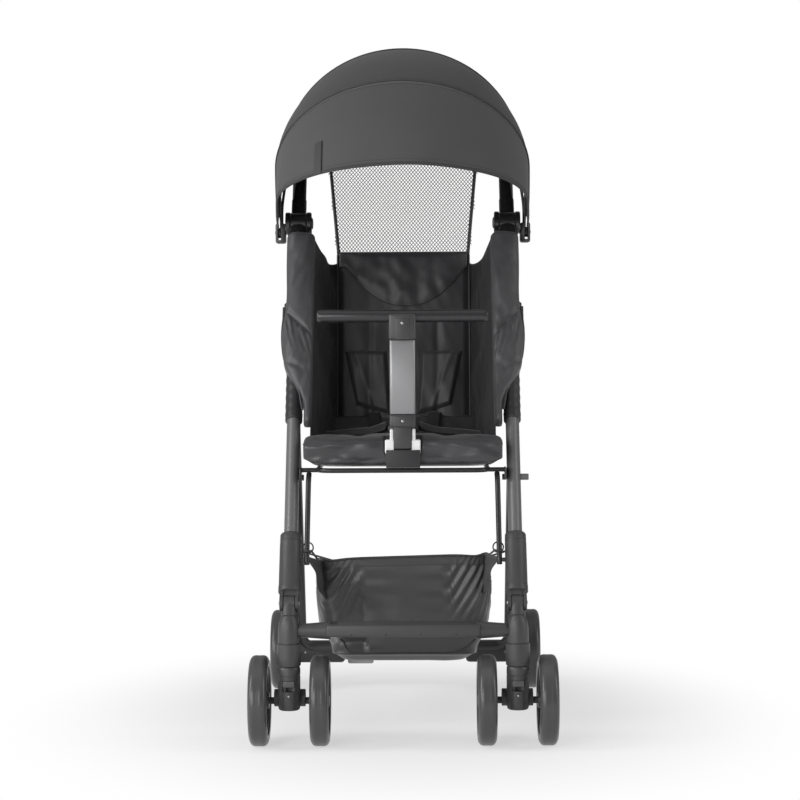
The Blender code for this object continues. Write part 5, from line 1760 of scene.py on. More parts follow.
@dataclass
class Seat:
    """The seat: a soft nylon cushion with crumpled corners, piping and the flat panel under the bumper."""

    half: float = 0.141
    front_y: float = -0.176
    back_y: float = 0.07
    low: float = 0.3783
    high: float = 0.424

    def ring(self, share: float, count: int = 160) -> list[Vector]:
        """Return one closed line round the cushion at a share of the way across.

        Args:
            share: share of the way.
            count: number of points.

        Returns:
            The points.
        """
        u = 2.0 * share - 1.0
        x = u * (self.half - 0.0005)
        end = (1.0 - abs(u) ** 9) ** 0.5 if abs(u) < 1 else 0.0
        middle_y, reach = (self.front_y + self.back_y) / 2, (self.back_y - self.front_y) / 2
        middle_z, rise = (self.low + self.high) / 2, (self.high - self.low) / 2
        ring = []
        for step in range(count):
            turn = tau * (step + 0.5) / count
            c, s = cos(turn), sin(turn)
            y = middle_y + signed_power(c, 0.32) * reach * (0.965 + 0.035 * end)
            z = middle_z + signed_power(s, 0.42) * rise * (0.5 + 0.5 * end)
            v = (y - middle_y) / reach
            if s > 0:
                z += (-0.007 * (v + 1) + 0.005 * (1 - u * u) * (1 - v * v)) * s
                z -= 0.003 * ridge(abs(u), 0.45, 0.1) * s * (1.0 - smooth(0.6, 1.0, -v))
                corner = smooth(0.55, 0.95, abs(u)) * smooth(0.2, 0.9, -v)
                z += (0.005 * corner + 0.003 * crease((x, y, 0.0), 40.0, 6.0) * (0.35 + corner)) * s
                z = min(z, self.high + 0.0055)
            front = smooth(0.72, 1.0, -v)
            slant = at(x * 0.35 - z * 0.5 * copysign(1.0, x), 0.0, z * 1.5 + abs(x) * 0.3)
            fold = crease(slant, 36.0, 3.3) + 0.4 * crease(slant, 90.0, 1.1)
            strength = front * (0.3 + 0.7 * smooth(0.025, 0.06, abs(x)))
            y += 0.0076 * strength * fold + 0.003 * front
            z = max(z, self.low + 0.0125 * smooth(0.78, 1.0, abs(u)) ** 1.5)
            if abs(x) < 0.0262 and y < -0.15 and z > 0.3982:
                z = 0.3982
            ring.append(at(x, max(y, self.front_y - 0.003), max(z, self.low - 0.001)))
        return ring

    def build(self) -> None:
        """Make the cushion, its piping and the panel under the bumper."""
        shares = np.concatenate((np.linspace(0.0, 0.402, 56), np.linspace(0.4068, 0.5932, 34),
                                 np.linspace(0.598, 1.0, 56)))
        cushion = loft("seat_pad", [self.ring(share) for share in shares])
        put(cushion, CUSHION_CLOTH, "chassis", "seat_cloth", "seat_cushion", fill=0.6)
        for word, side in SIDES:
            line = [at(side * (0.1398 - 0.0016 * sin(i * 0.5)), y, 0.412 - 0.01 * smooth(-0.1, 0.07, y)
                            + 0.0012 * sin(i * 0.7))
                    for i, y in enumerate(np.linspace(-0.166, 0.064, 40))]
            put(tube(f"seat_side_piping_{word}", line, 0.0014, 10), PIPING, "chassis", "seat_cloth")
        panel = block("seat_front_panel", (0.048, 0.0022, 0.025), (0.0005, self.front_y - 0.0056, 0.392), 0.0008)
        put(panel, SIDE_CLOTH, "chassis", "seat_cloth")


@dataclass
class Harness:
    """The straps that run from the shoulder pads to the buckle, and the buckle itself."""

    buckle: Point = (0.0, -0.056, 0.4291)

    def strap(self, name: str, points: Sequence[Point], width: float, blends: bool) -> None:
        """Lay a flat woven strap along points.

        Args:
            name: the object's name.
            points: the points that it passes.
            width: its width.
            blends: whether it bends with the backrest.
        """
        path = curve_through(points, 8)
        count = len(path) - 1

        def place(across: float, along: float) -> Vector:
            """Return one point of the strap.

            Args:
                across: share of the way across.
                along: share of the way along.

            Returns:
                The point.
            """
            i = min(count - 1, int(along * count))
            point = path[i].lerp(path[i + 1], along * count - i)
            run = (path[i + 1] - path[i]).normalized()
            side = run.cross(at(0.0, -0.5, 0.87)).normalized()
            return point + side * (width * (across - 0.5))

        strap = woven(name, place, 6, 48, (width, 0.2))
        finish_sheet(strap, 6, 48, 0.0013)
        ends = at(0.0, 0.02, 0.428), at(0.0, 0.09, 0.445)
        put(strap, WEBBING, ("chassis", "backrest", *ends) if blends else "chassis", "seat_cloth")

    def build(self) -> None:
        """Lay the straps and refine the buckle."""
        x, y, z = self.buckle
        for word, side in SIDES:
            start = in_back(side * 0.046, 0.016, 0.0345)
            self.strap(f"shoulder_strap_{word}",
                       [start, (side * 0.044, 0.05, 0.425), (side * 0.04, 0.022, 0.4195),
                        (side * 0.031, -0.015, 0.424), (side * 0.0215, -0.044, 0.4325)], 0.018, True)
            self.strap(f"hip_strap_{word}",
                       [(side * 0.025, -0.052, 0.433), (side * 0.048, -0.046, 0.426),
                        (side * 0.08, -0.03, 0.4222), (side * 0.124, -0.012, 0.4165)], 0.02, False)
        put(refine("harness_buckle", "harness_buckle_body", 0.0008), DARK_MOULDED, "chassis", "plastic",
            "harness_buckle")
        put(lathe("harness_release", [(0.0, 0.003), (0.0045, 0.0029), (0.0068, 0.0026), (0.0085, 0.0014),
                                      (0.0086, -0.0003), (0.0, -0.0003)],
                  at(x, y, z + 0.0035), Z_AXIS, 40), GREY_PLASTIC, "buckle",
            "grey_plastic", "buckle_button")


@dataclass
class Frame:
    """The leg tubes with their sleeves, the rear brackets, the seat wire, its plates and struts."""

    sleeve_foot: float = 0.2105
    sleeve_top: float = 0.287

    def build(self) -> None:
        """Make both sides of the frame and the seat wire."""
        for word, side in SIDES:
            rings = [leg_oval_ring(side, z, 0.0, 56) for z in (0.2285, 0.3, 0.4, 0.5, 0.6, 0.7, 0.71)]
            leg = loft(f"leg_tube_skin_{word}", rings, 50.0)
            if side > 0:
                stud = leg_point(side, SEAT_BOLT_Z)
                leg = joined(leg.name, [leg, rod(stud, stud + X_AXIS * 0.021, 0.0045)])
            put(leg, LEG_FINISH, "chassis", "leg_tube", f"leg_tube_{word}")
            self.sleeve(word, side)
            put(refine(f"rear_bracket_{word}", f"rear_bracket_body_{word}", 0.0008), MOULDED, "chassis", "plastic",
                f"rear_bracket_{word}")
            foot = leg_point(side, STRUT_LUG_Z)
            path = curve_through([(side * 0.133, -0.155, 0.3698), (side * 0.1333, -0.1668, 0.359),
                                  (side * 0.1336, -0.176, 0.335), (side * 0.1338, -0.196, 0.295),
                                  (side * 0.134, foot.y - 0.001, foot.z + 0.004),
                                  (side * 0.134, foot.y - 0.002, foot.z - 0.006)], 6)
            put(tube(f"seat_strut_rod_{word}", path, 0.0038, 20), WIRE_FINISH, "chassis", "steel",
                f"seat_strut_{word}")
        wire = tube("seat_frame_wire", rounded_path([(-0.1205, 0.058, 0.375), (-0.1205, -0.168, 0.375),
                                                     (0.1205, -0.168, 0.375), (0.1205, 0.058, 0.375)], 0.02),
                    0.0035, 20)
        pieces = [wire]
        for word, side in SIDES:
            bolt = leg_point(side, SEAT_BOLT_Z)
            pieces.append(rod((side * 0.1205, -0.155, 0.375), (side * 0.145, -0.155, 0.375), 0.0032, steps=20))
            pieces.append(block("plate", (0.0028, 0.032, 0.016), at(side * 0.145, bolt.y - 0.004, 0.37), 0.001))
            pieces.append(rod((side * 0.1462, bolt.y, bolt.z), (side * 0.1405, bolt.y, bolt.z), 0.0042, steps=6))
        put(joined("seat_frame_wire", pieces), WIRE_FINISH, "chassis", "steel", "seat_frame")

    def sleeve(self, word: str, side: int) -> None:
        """Make one knee sleeve with its groove, ears and pins.

        Args:
            word: the side's name.
            side: -1 for left, 1 for right.
        """
        length = (self.sleeve_top - self.sleeve_foot) / cos(LEG_LEAN)
        foot = leg_point(side, self.sleeve_foot)
        eye = leg_point(side, KNEE_Z)
        profile = [(0.0, length), (0.0124, length), (0.0138, length - 0.0004), (0.0148, length - 0.002),
                   (0.015, length - 0.0105), (0.0143, length - 0.0112), (0.0143, length - 0.0128),
                   (0.0151, length - 0.0136), (0.0153, 0.01), (0.0157, 0.009), (0.0157, 0.0008),
                   (0.0149, 0.0), (0.0, 0.0)]
        solids = [lathe("sleeve", profile, foot, LEG_UP, 56)]
        for outer in (-1, 1):
            place = eye + X_AXIS * (outer * 0.0108)
            half = X_AXIS * 0.0024
            solids.append(rod(place - half, place + half, 0.012))
            solids.append(block("arm", (0.0048, 0.0196, 0.026), place + LEG_UP * 0.013, turn=LEG_TURN))
        slot = block("slot", (0.0162, 0.045, 0.04), eye - LEG_UP * 0.0065, turn=LEG_TURN)
        knee_pin = pin(eye, 0.01, 0.0028)
        lug = leg_point(side, STRUT_LUG_Z)
        strut_pin = rod(lug - X_AXIS * (side * 0.01), lug - X_AXIS * (side * 0.0188), 0.003)
        put(merged(f"knee_sleeve_body_{word}", solids, [slot], [knee_pin, strut_pin]), MOULDED, "chassis", "plastic",
            f"knee_sleeve_{word}")


@dataclass
class LowerLegs:
    """The lower legs with their caster sockets and the footrest between them."""

    def build(self) -> None:
        """Make both lower legs and the footrest."""
        for word, side in SIDES:
            x = side * LEG_X
            eye = leg_point(side, KNEE_Z)
            profile = [(0.0, 0.184), (0.006, 0.1836), (0.009, 0.1822), (0.012, 0.1775), (0.0136, 0.1715),
                       (0.0147, 0.165), (0.0151, 0.156), (0.0151, 0.1452), (0.0146, 0.1448), (0.0146, 0.144),
                       (0.0166, 0.1434), (0.0168, 0.125), (0.0163, 0.115), (0.0157, 0.1133), (0.0, 0.1133)]
            solids = [lathe("socket", profile, at(x, STEM_Y, 0.0), Z_AXIS, 64),
                      rod(leg_point(side, 0.166), leg_point(side, 0.194), 0.0108),
                      pin(eye, 0.0078, 0.0112),
                      block("lug", (0.012, 0.022, 0.012), at(x - side * 0.006, STEM_Y + 0.02, 0.1735), 0.002)]
            cuts = [block("cheek", (0.006, 0.034, 0.046), eye + X_AXIS * (outer * 0.0109) + LEG_UP * 0.0093,
                          turn=LEG_TURN)
                    for outer in (-1, 1)]
            cuts.append(pin(eye, 0.0234, 0.0032))
            put(merged(f"lower_leg_body_{word}", solids, cuts), MOULDED, "lower_legs", "plastic", f"lower_leg_{word}")
        plate = block("footrest_tray", (0.211, 0.042, 0.017), at(0.0, STEM_Y + 0.006, 0.1625), 0.0032)
        solids = [plate, rod((-0.15, STEM_Y, 0.1615), (0.15, STEM_Y, 0.1615), 0.0088, steps=48)]
        cuts = [block("hollow", (0.196, 0.028, 0.02), at(0.0, STEM_Y + 0.006, 0.153), 0.002)]
        for word, side in SIDES:
            solids.append(rod((side * 0.1, STEM_Y, 0.1615), (side * 0.142, STEM_Y, 0.1615), 0.0122, 0.0092, steps=48))
            cuts.append(rod((side * LEG_X, STEM_Y, 0.09), (side * LEG_X, STEM_Y, 0.235), 0.01545, steps=50))
        late = [block("rib", (0.003, 0.029, 0.01), at(place, STEM_Y + 0.006, 0.1592)) for place in FOOTREST_RIBS]
        late += [block("tread", (0.18, 0.0012, 0.0012), (0.0, STEM_Y - 0.008 + 0.0065 * i, 0.1709), 0.0004)
                 for i in range(5)]
        put(merged("footrest_tray", solids, cuts, late), MOULDED, "lower_legs", "plastic", "footrest")


@dataclass
class Wheels:
    """Tyres with a centre ridge on spoked rims, in swivel casters in front and on the beam behind."""

    radius: float = 0.0625
    half: float = 0.013
    seat: float = 0.0476
    spokes: int = 5

    def tyre(self, name: str, place: Vector) -> Piece:
        """Make one tyre about its axle.

        Args:
            name: the tyre's name.
            place: its centre.

        Returns:
            The object.
        """
        outer = []
        for i in range(25):
            turn = pi * (i / 24 - 0.5)
            across = self.half * sin(turn)
            tread = self.radius - 0.007 * abs(sin(turn)) ** 5.0
            tread -= 0.0004 * ridge(abs(across), 0.0016, 0.0005)
            outer.append((tread, across))
        profile = [(self.seat, 0.0112), (self.seat + 0.0012, 0.0124), (self.seat + 0.005, 0.013)]
        profile += [point for point in reversed(outer)]
        profile += [(self.seat + 0.005, -0.013), (self.seat + 0.0012, -0.0124), (self.seat, -0.0112)]
        return lathe(name, profile, place, X_AXIS, 128)

    def rim(self, name: str, place: Vector, outward: int) -> Piece:
        """Make one rim: cap, hub, five ribbed spokes and the ring that carries the tyre.

        Args:
            name: the rim's name.
            place: its centre.
            outward: -1 or 1, the side that faces out.

        Returns:
            The object.
        """
        axis = X_AXIS * outward
        hub = [(0.0, 0.013), (0.005, 0.0129), (0.008, 0.0121), (0.0092, 0.0105), (0.0096, 0.0088),
               (0.0118, 0.008), (0.0125, 0.006), (0.0125, -0.006), (0.011, -0.0135), (0.0, -0.0135)]
        ring = [(0.0375, 0.0032), (0.0392, 0.004), (0.0402, 0.0098), (0.041, 0.0105), (0.0462, 0.0105),
                (0.047, 0.0098), (0.047, -0.0098), (0.0462, -0.0105), (0.041, -0.0105), (0.0402, -0.0098),
                (0.0392, -0.004), (0.0375, -0.0032)]
        pieces = [lathe("hub", hub, place, axis, 64), lathe("ring", ring, place, axis, 128)]
        for number in range(self.spokes):
            turn = Matrix.Rotation(tau * (number + 0.5) / self.spokes, 3, "X")
            for size, low, high in (((0.005, 0.0076), 0.011, 0.0385), ((0.011, 0.003), 0.0115, 0.038)):
                centre = turn @ at(0.0, 0.0, (low + high) / 2)
                pieces.append(block("spoke", (size[0], size[1], high - low), place + centre, 0.0009, turn))
        return joined(name, pieces)

    def build(self) -> None:
        """Make the four front wheels, the two rear ones and the casters."""
        for word, side in SIDES:
            self.caster(word, side)
            for where, offset in (("outer", side), ("inner", -side)):
                place = at(side * LEG_X + offset * 0.042, FRONT_AXLE_Y, AXLE_Z)
                self.wheel(f"front_{word}_{where}", place, offset)
            self.wheel(f"rear_{word}", at(side * 0.2, REAR_AXLE_Y, AXLE_Z), side)

    def wheel(self, name: str, place: Vector, outward: int) -> None:
        """Make one wheel on its own spin.

        Args:
            name: the wheel's name.
            place: its centre.
            outward: -1 or 1, the side that faces out.
        """
        body = "wheel_" + name
        put(self.tyre(f"{name}_rubber", place), TYRE_FINISH, body, "tyre", f"{name}_tyre")
        put(self.rim(f"{name}_wheel_rim", place, outward), RIM_FINISH, body, "rim", f"{name}_rim")

    def caster(self, word: str, side: int) -> None:
        """Make one caster housing with its lock tab.

        Args:
            word: the side's name.
            side: -1 for left, 1 for right.
        """
        x = side * LEG_X
        profile = [(0.0, 0.1129), (0.0122, 0.1129), (0.014, 0.1124), (0.0151, 0.1108), (0.0155, 0.1085),
                   (0.0155, 0.101), (0.0151, 0.1006), (0.0151, 0.0994), (0.0155, 0.099), (0.0154, 0.062),
                   (0.015, 0.056), (0.0142, 0.0535), (0.0128, 0.0525), (0.0, 0.0525)]
        solids = [lathe("housing", profile, at(x, STEM_Y, 0.0), Z_AXIS, 64),
                  rod((x - 0.0215, FRONT_AXLE_Y, 0.066), (x + 0.0215, FRONT_AXLE_Y, 0.066), 0.012, steps=48),
                  block("web", (0.022, 0.02, 0.034), at(x, STEM_Y + 0.012, 0.072), 0.003),
                  rod((x - 0.047, FRONT_AXLE_Y, AXLE_Z), (x + 0.047, FRONT_AXLE_Y, AXLE_Z), 0.0048, steps=32)]
        cuts = [block("window", (0.0168, 0.012, 0.015), at(x, STEM_Y - 0.016, 0.0863), 0.0008),
                block("slot", (0.008, 0.008, 0.006), at(x, STEM_Y - 0.008, 0.0818))]
        put(merged(f"caster_body_{word}", solids, cuts), MOULDED, f"caster_{word}", "plastic",
            f"caster_housing_{word}")
        tab = joined(f"swivel_lock_tab_{word}",
                     [block("tab", (0.016, 0.0046, 0.008), at(x, STEM_Y - 0.0126, 0.0893), 0.001)]
                     + [block("grip", (0.013, 0.0008, 0.0007), (x, STEM_Y - 0.015, 0.0872 + 0.002 * i), 0.0002)
                        for i in range(3)])
        put(tab, GREY_PLASTIC, f"lock_{word}", "grey_plastic", f"swivel_lock_{word}")


@dataclass
class RearFrame:
    """The bent rear legs, the beam that joins them and the ribbed brake pedal."""

    inner_x: float = 0.105

    def build(self) -> None:
        """Make the legs, the beam and the pedal."""
        end = self.inner_x - 0.0004
        solids = [rod((-end, REAR_AXLE_Y, BEAM_Z), (end, REAR_AXLE_Y, BEAM_Z), 0.0075, steps=48)]
        for word, side in SIDES:
            top = at(side * REAR_PIVOT[0], *REAR_PIVOT[1:])
            low = at(side * REAR_PIVOT[0], REAR_AXLE_Y, BEAM_Z)
            run = (low - top).normalized()
            path = rounded_path([top + run * 0.004, low, (side * self.inner_x, REAR_AXLE_Y, BEAM_Z)], 0.024)
            leg = tube(f"rear_leg_rod_{word}", path, 0.0075, 40)
            eye = pin(top, 0.0077, 0.011)
            put(joined(f"rear_leg_rod_{word}", [leg, eye]), REAR_FINISH, "rear_frame", "rear_tube",
                f"rear_leg_{word}")
            solids += [block("housing", (0.082, 0.025, 0.034),
                             at(side * 0.1375, REAR_AXLE_Y + 0.0075, 0.057), 0.0062),
                       block("root", (0.009, 0.02, 0.026), at(side * 0.1785, REAR_AXLE_Y + 0.003, 0.06), 0.003),
                       rod((side * 0.17, REAR_AXLE_Y, AXLE_Z), (side * 0.205, REAR_AXLE_Y, AXLE_Z), 0.0048)]
        put(joined("rear_beam_body", solids), DARK_MOULDED, "rear_frame", "plastic", "rear_axle_beam")
        x, y, z = -0.0725, REAR_AXLE_Y, BEAM_Z
        pedal = [rod((x - 0.011, y, z), (x + 0.011, y, z), 0.0118, steps=48),
                 block("arm", (0.02, 0.03, 0.008), at(x, y + 0.02, 0.053),
                       0.001, Matrix.Rotation(radians(-32), 3, "X")),
                 block("pad", (0.0415, 0.024, 0.013), at(x, y + 0.04, 0.04), 0.003)]
        grooves = [block("groove", (0.0028, 0.03, 0.005), at(x + 0.0072 * i, y + 0.04, 0.0475), 0.0006)
                   for i in range(-2, 3)]
        grooves.append(rod((x - 0.03, y, z), (x + 0.03, y, z), 0.0079))
        put(merged("brake_pedal_body", pedal, grooves), PEDAL_FINISH, "pedal", "pedal", "brake_pedal")


@dataclass
class PushHandle:
    """The push handle: one bent tube, a foam grip, and the shoulders with their release buttons."""

    lean: float = 33.0
    top_z: float = 0.93
    axis_z: float = 0.733
    bend: float = 0.05

    def build(self) -> None:
        """Make the handle, the grip, the shoulders and the buttons."""
        along = at(0.0, sin(radians(self.lean)), cos(radians(self.lean)))
        foot = leg_point(1, self.axis_z)
        top_y = foot.y + (self.top_z - self.axis_z) * tan(radians(self.lean))
        feet = [leg_point(side, self.axis_z) for _, side in SIDES]
        path = rounded_path([feet[0] + along * 0.008, (-LEG_X, top_y, self.top_z), (LEG_X, top_y, self.top_z),
                             feet[1] + along * 0.008], self.bend, 14)
        pieces = [tube("push_handle", path, 0.0105, 40)]
        for place in feet:
            pieces.append(pin(place, 0.0116, 0.0166, steps=56, chamfer=0.001))
            pieces.append(rod(place + along * 0.005, place + along * 0.042, 0.0113, steps=40, chamfer=0.0008))
        put(joined("push_handle", pieces), GLOSSY, "handle", "handle_tube", "handle_tube")
        half, radius = 0.092, 0.0145
        profile = [(0.0109, -half), (radius - 0.0015, -half), (radius, -half + 0.002)]
        profile += [(radius - 0.0003 * (i % 2), -half + 0.003 + (2 * half - 0.006) * i / 60) for i in range(61)]
        profile += [(radius, half - 0.002), (radius - 0.0015, half), (0.0109, half)]
        put(lathe("foam_grip", profile, at(0.0, top_y, self.top_z), X_AXIS, 64), FOAM, "handle", "foam",
            "handle_grip")
        for word, side in SIDES:
            self.shoulder(word, side, leg_point(side, self.axis_z))

    def shoulder(self, word: str, side: int, axis: Vector) -> None:
        """Make one shoulder housing and its release button.

        Args:
            word: the side's name.
            side: -1 for left, 1 for right.
            axis: where the handle turns.
        """
        barrel = [(0.0, 0.0), (0.0146, 0.0), (0.0156, 0.0012), (0.0158, 0.003), (0.0158, 0.044),
                  (0.0154, 0.0455), (0.0146, 0.046), (0.0, 0.046)]
        solids = [lathe("barrel", barrel, axis - LEG_UP * 0.056, LEG_UP, 64)]
        for outer in (-1, 1):
            solids.append(rod(axis + X_AXIS * (outer * 0.012), axis + X_AXIS * (outer * 0.0195), 0.017, steps=64,
                              chamfer=0.0014))
        rest = radians(self.lean + 100.0)
        cuts = [pin(axis, 0.012, 0.0174, steps=64, chamfer=0.0),
                rod(axis, axis + at(0.0, sin(rest), cos(rest)) * 0.06, 0.0118)]
        inner = -side
        face = axis + X_AXIS * (inner * 0.0195)
        cuts.append(rod(face - X_AXIS * (inner * 0.0056), face + X_AXIS * (inner * 0.01), 0.0098))
        put(merged(f"shoulder_housing_{word}", solids, cuts), GLOSSY, "chassis", "gloss_plastic", f"shoulder_{word}")
        button = [(0.0, 0.0026), (0.0045, 0.0025), (0.007, 0.0022), (0.0084, 0.0012), (0.009, -0.0004),
                  (0.009, -0.0025), (0.0, -0.0025)]
        put(lathe(f"release_cap_{word}", button, face, X_AXIS * inner, 48), GREY_PLASTIC, f"release_{word}",
            "grey_plastic", f"release_button_{word}")


@dataclass
class Bumper:
    """The T-shaped bumper: white saddle on the seat, bracket, satin post, head and round bar."""

    y: float = -0.171
    bar_half: float = 0.1188

    def build(self) -> None:
        """Make the saddle and what tilts on it."""
        put(refine("bumper_socket", "bumper_saddle", 0.0009), NYLON, "chassis", "nylon", "bumper_socket")
        hinge = [block("bracket", (0.037, 0.025, 0.0185), at(0.0, self.y, 0.4453), 0.0028),
                 block("tongue", (0.0246, 0.011, 0.033), at(0.0, self.y, 0.4215), 0.003),
                 block("tongue face", (0.0246, 0.005, 0.033), at(0.0, self.y - 0.008, 0.4226), 0.0012),
                 block("face", (0.0262, 0.002, 0.015), at(0.0, self.y - 0.0122, 0.4448), 0.0009)]
        put(joined("bumper_foot_bracket", hinge), HEAD_FINISH, "bumper", "gloss_plastic", "bumper_hinge")
        rings = []
        for z, inset in ((0.4549, 0.0006), (0.4556, 0.0), (0.5578, 0.0), (0.5585, 0.0006)):
            ring = []
            for quarter, (across, deep) in enumerate(((1, 1), (-1, 1), (-1, -1), (1, -1))):
                for step in range(9):
                    turn = pi / 2 * (quarter + step / 8)
                    ring.append(at(across * (0.018 - 0.0038) + (0.0038 - inset) * cos(turn),
                                        self.y + deep * (0.011 - 0.0038) + (0.0038 - inset) * sin(turn), z))
            rings.append(ring)
        put(loft("bumper_post_tube", rings, 50.0), POST_FINISH, "bumper", "post", "bumper_post")
        head = [block("head", (0.038, 0.026, 0.037), at(0.0, self.y, 0.5774), 0.0036),
                block("face", (0.02, 0.0016, 0.03), at(0.0, self.y - 0.013, 0.5745), 0.0007)]
        put(joined("bumper_top_bracket", head), HEAD_FINISH, "bumper", "gloss_plastic", "bumper_head")
        level = 0.5925
        half = self.bar_half
        path = [at(x, self.y + 0.006 * (x / half) ** 2, level) for x in np.linspace(-half, half, 81)]

        def radius(share: float) -> float:
            """Return the bar's radius at a share of its length."""
            end = min(share, 1.0 - share)
            return 0.009 - 0.0012 * (1.0 - smooth(0.0, 0.009, end))
        bar = tube("bumper_cross_bar", path, radius, 40)
        put(bar, BAR_FINISH, "bumper", "gloss_plastic", "bumper_bar")
        caps = [rod(path[i], path[i] + X_AXIS * (0.0012 * sign), 0.007, 0.0064) for i, sign in ((0, -1), (-1, 1))]
        put(joined("bumper_bar_end_caps", caps), MOULDED, "bumper", "gloss_plastic")


@dataclass
class CanopyFrame:
    """The two canopy hoops and the clamps that hold them on the shoulders."""

    def build(self, canopy: Canopy) -> None:
        """Make the hoops on the canopy's own lines and refine the clamps.

        Args:
            canopy: the canopy whose lines they take.
        """
        for name, hoop, body, behind, reach in (("front", canopy.front, "canopy_front", 0.0, 0.018),
                                                ("rear", canopy.rear, "chassis", canopy.rear_offset, 0.026)):
            line = [canopy.arch(i / 80, *hoop, behind, -0.004) for i in range(81)]
            turn = radians(hoop[0])
            low = at(0.0, sin(turn), -cos(turn)) * reach
            pieces = [tube(f"canopy_{name}_wire", [line[0] + low, *line, line[-1] + low], 0.0021, 16)]
            if name == "front":
                pieces += [rod((side * 0.1844, *CANOPY_AXIS), (side * 0.1884, *CANOPY_AXIS), 0.0078)
                           for _, side in SIDES]
            put(joined(f"canopy_{name}_wire", pieces), MOULDED, body, "plastic", f"canopy_{name}_hoop")
        for word, side in SIDES:
            put(refine(f"canopy_clamp_{word}", f"canopy_clamp_body_{word}", 0.0006), MOULDED, "chassis", "plastic",
                f"canopy_clamp_{word}")


@dataclass
class Basket:
    """The hung cloth basket: stitched hem, gathers under it, sagging floor, corner flaps and cords."""

    middle_y: float = 0.0035
    half: float = 0.1265
    reach: float = 0.1465
    top: float = 0.25
    floor: float = 0.0965
    rear_drop: float = 0.034
    hook_z: float = 0.224

    def rim(self, across: float, along: float) -> float:
        """Return the rim's height, lower at the rear and a little higher at the right."""
        front = smooth(0.0, 0.8, -along)
        return self.top + 0.0035 * across * front - self.rear_drop * smooth(-0.95, 0.6, along)

    def wall(self, around: float, down: float) -> Vector:
        """Return a point of the cloth: round the wall, then inward over the floor.

        Args:
            around: share of the way round.
            down: share of the way down and inward.

        Returns:
            The point.
        """
        turn = tau * around
        c, s = cos(turn), sin(turn)
        power = 0.42 - 0.2 * smooth(0.0, 0.7, -s)
        across = signed_power(c, power)
        along = signed_power(s, power)
        deep = min(1.0, down / 0.62)
        rim = self.rim(across, along)
        if down <= 0.62:
            scale = 1.0 + 0.006 * sin(pi * min(1.0, deep * 1.5)) - 0.14 * smooth(0.6, 1.0, deep) ** 1.6
            z = rim + (self.floor + 0.01 - rim) * deep
        else:
            inward = (down - 0.62) / 0.38
            scale = 0.86 * (1.0 - inward) ** 0.85 * (1.0 + 0.1 * inward)
            z = self.floor + 0.01 * (1.0 - smooth(0.0, 0.25, inward)) - 0.003 * smooth(0.0, 0.6, inward)
        point = at(across * self.half * scale, self.middle_y + along * self.reach * scale, z)
        wall_share = 1.0 - smooth(0.6, 0.75, down)
        length = point.x * 1.0 + point.y * 1.1
        gather = smooth(0.06, 0.14, deep) * (1.0 - smooth(0.25, 0.75, deep))
        hem = 1.0 - smooth(0.08, 0.1, deep)
        folds = sin(length * 420.0 + (self.top - z) * 260.0 + 2.4 * crease((point.x, point.y, 0.0), 24.0, 2.0))
        move = 0.002 * gather * folds + 0.004 * crease(point, 11.0, 5.0) * smooth(0.1, 0.4, deep)
        move += 0.0009 * crease(point, 42.0, 8.0) * (1.0 - hem)
        move += 0.0005 * hem * sin(length * 700.0 + (self.top - z) * 420.0)
        corner = (1.0 - smooth(-0.066, -0.044, point.x)) * smooth(-0.128, -0.112, point.x) * smooth(0.5, 0.9, -along)
        move -= 0.019 * corner * smooth(0.22, 0.62, deep) * (1.0 - smooth(0.86, 1.0, deep))
        out = at(point.x * 0.8, point.y - self.middle_y, 0.0).normalized()
        point -= out * (0.0016 - move) * wall_share
        if deep < 1.0:
            point.z -= 0.0025 * hem * sin(around * pi * 8.0) ** 2 * (1.0 - deep)
        else:
            point.z += 0.0016 * crease(point, 18.0, 4.0) * (1.0 - wall_share)
        return point

    def build(self, sew: Copies) -> None:
        """Make the cloth with its hem, stitches, floor bindings, cords, hooks and corner tabs.

        Args:
            sew: the maker of stitches.
        """
        columns, rows = 360, 110
        shares = [(c / columns, r / rows) for r in range(rows + 1) for c in range(columns)]
        points = [self.wall(u, 0.985 * v) for u, v in shares]
        faces = grid_faces(rows + 1, columns, ring_columns=True)
        faces.append(tuple(rows * columns + c for c in reversed(range(columns))))
        bag = face_out(add_mesh("basket_cloth_bag", points, faces, np.array([(u * 1.02, v * 0.26) for u, v in shares])))
        thicken(bag, 0.0012, -1.0)
        rim, seam = ([self.wall(i / 360, down * 0.62) + self.out_at(self.wall(i / 360, 0.2)) * 0.0003
                      for i in range(361)] for down in (0.0, 0.085))
        trims = [tube("basket_hem_binding", rim[:-1] + [rim[0]], 0.0012, 10, 1.5),
                 sew.sew("basket_hem_stitches", seam, self.out_at, 0.001, 0.0032, 7)]
        for number, y in enumerate((-1, 1)):
            line = []
            for i in range(41):
                around = (0.75 if y < 0 else 0.25) + (i / 40 - 0.5) * 0.19
                spot = self.wall(around, 0.62 * (0.985 - 0.14 * abs(i / 20 - 1.0) ** 2.5))
                line.append(spot + self.out_at(spot) * 0.0004)
            trims.append(tube(f"basket_floor_binding_{number}", line, 0.0016, 10))
        for trim in trims:
            put(trim, STITCH if "stitches" in trim.name else PIPING, "chassis", "basket_cloth")
        put(bag, BASKET_CLOTH, "chassis", "basket_cloth", "basket")
        for word, side in SIDES:
            self.corner(word, side)

    def out_at(self, point: Vector) -> Vector:
        """Return the outward direction of the wall at a point.

        Args:
            point: the point.

        Returns:
            A unit vector.
        """
        x = abs(point.x / self.half) ** 3.76 * copysign(1.0, point.x) / self.half
        y = abs((point.y - self.middle_y) / self.reach) ** 3.76 * copysign(1.0, point.y - self.middle_y)
        return at(x, y / self.reach, 0.0).normalized()

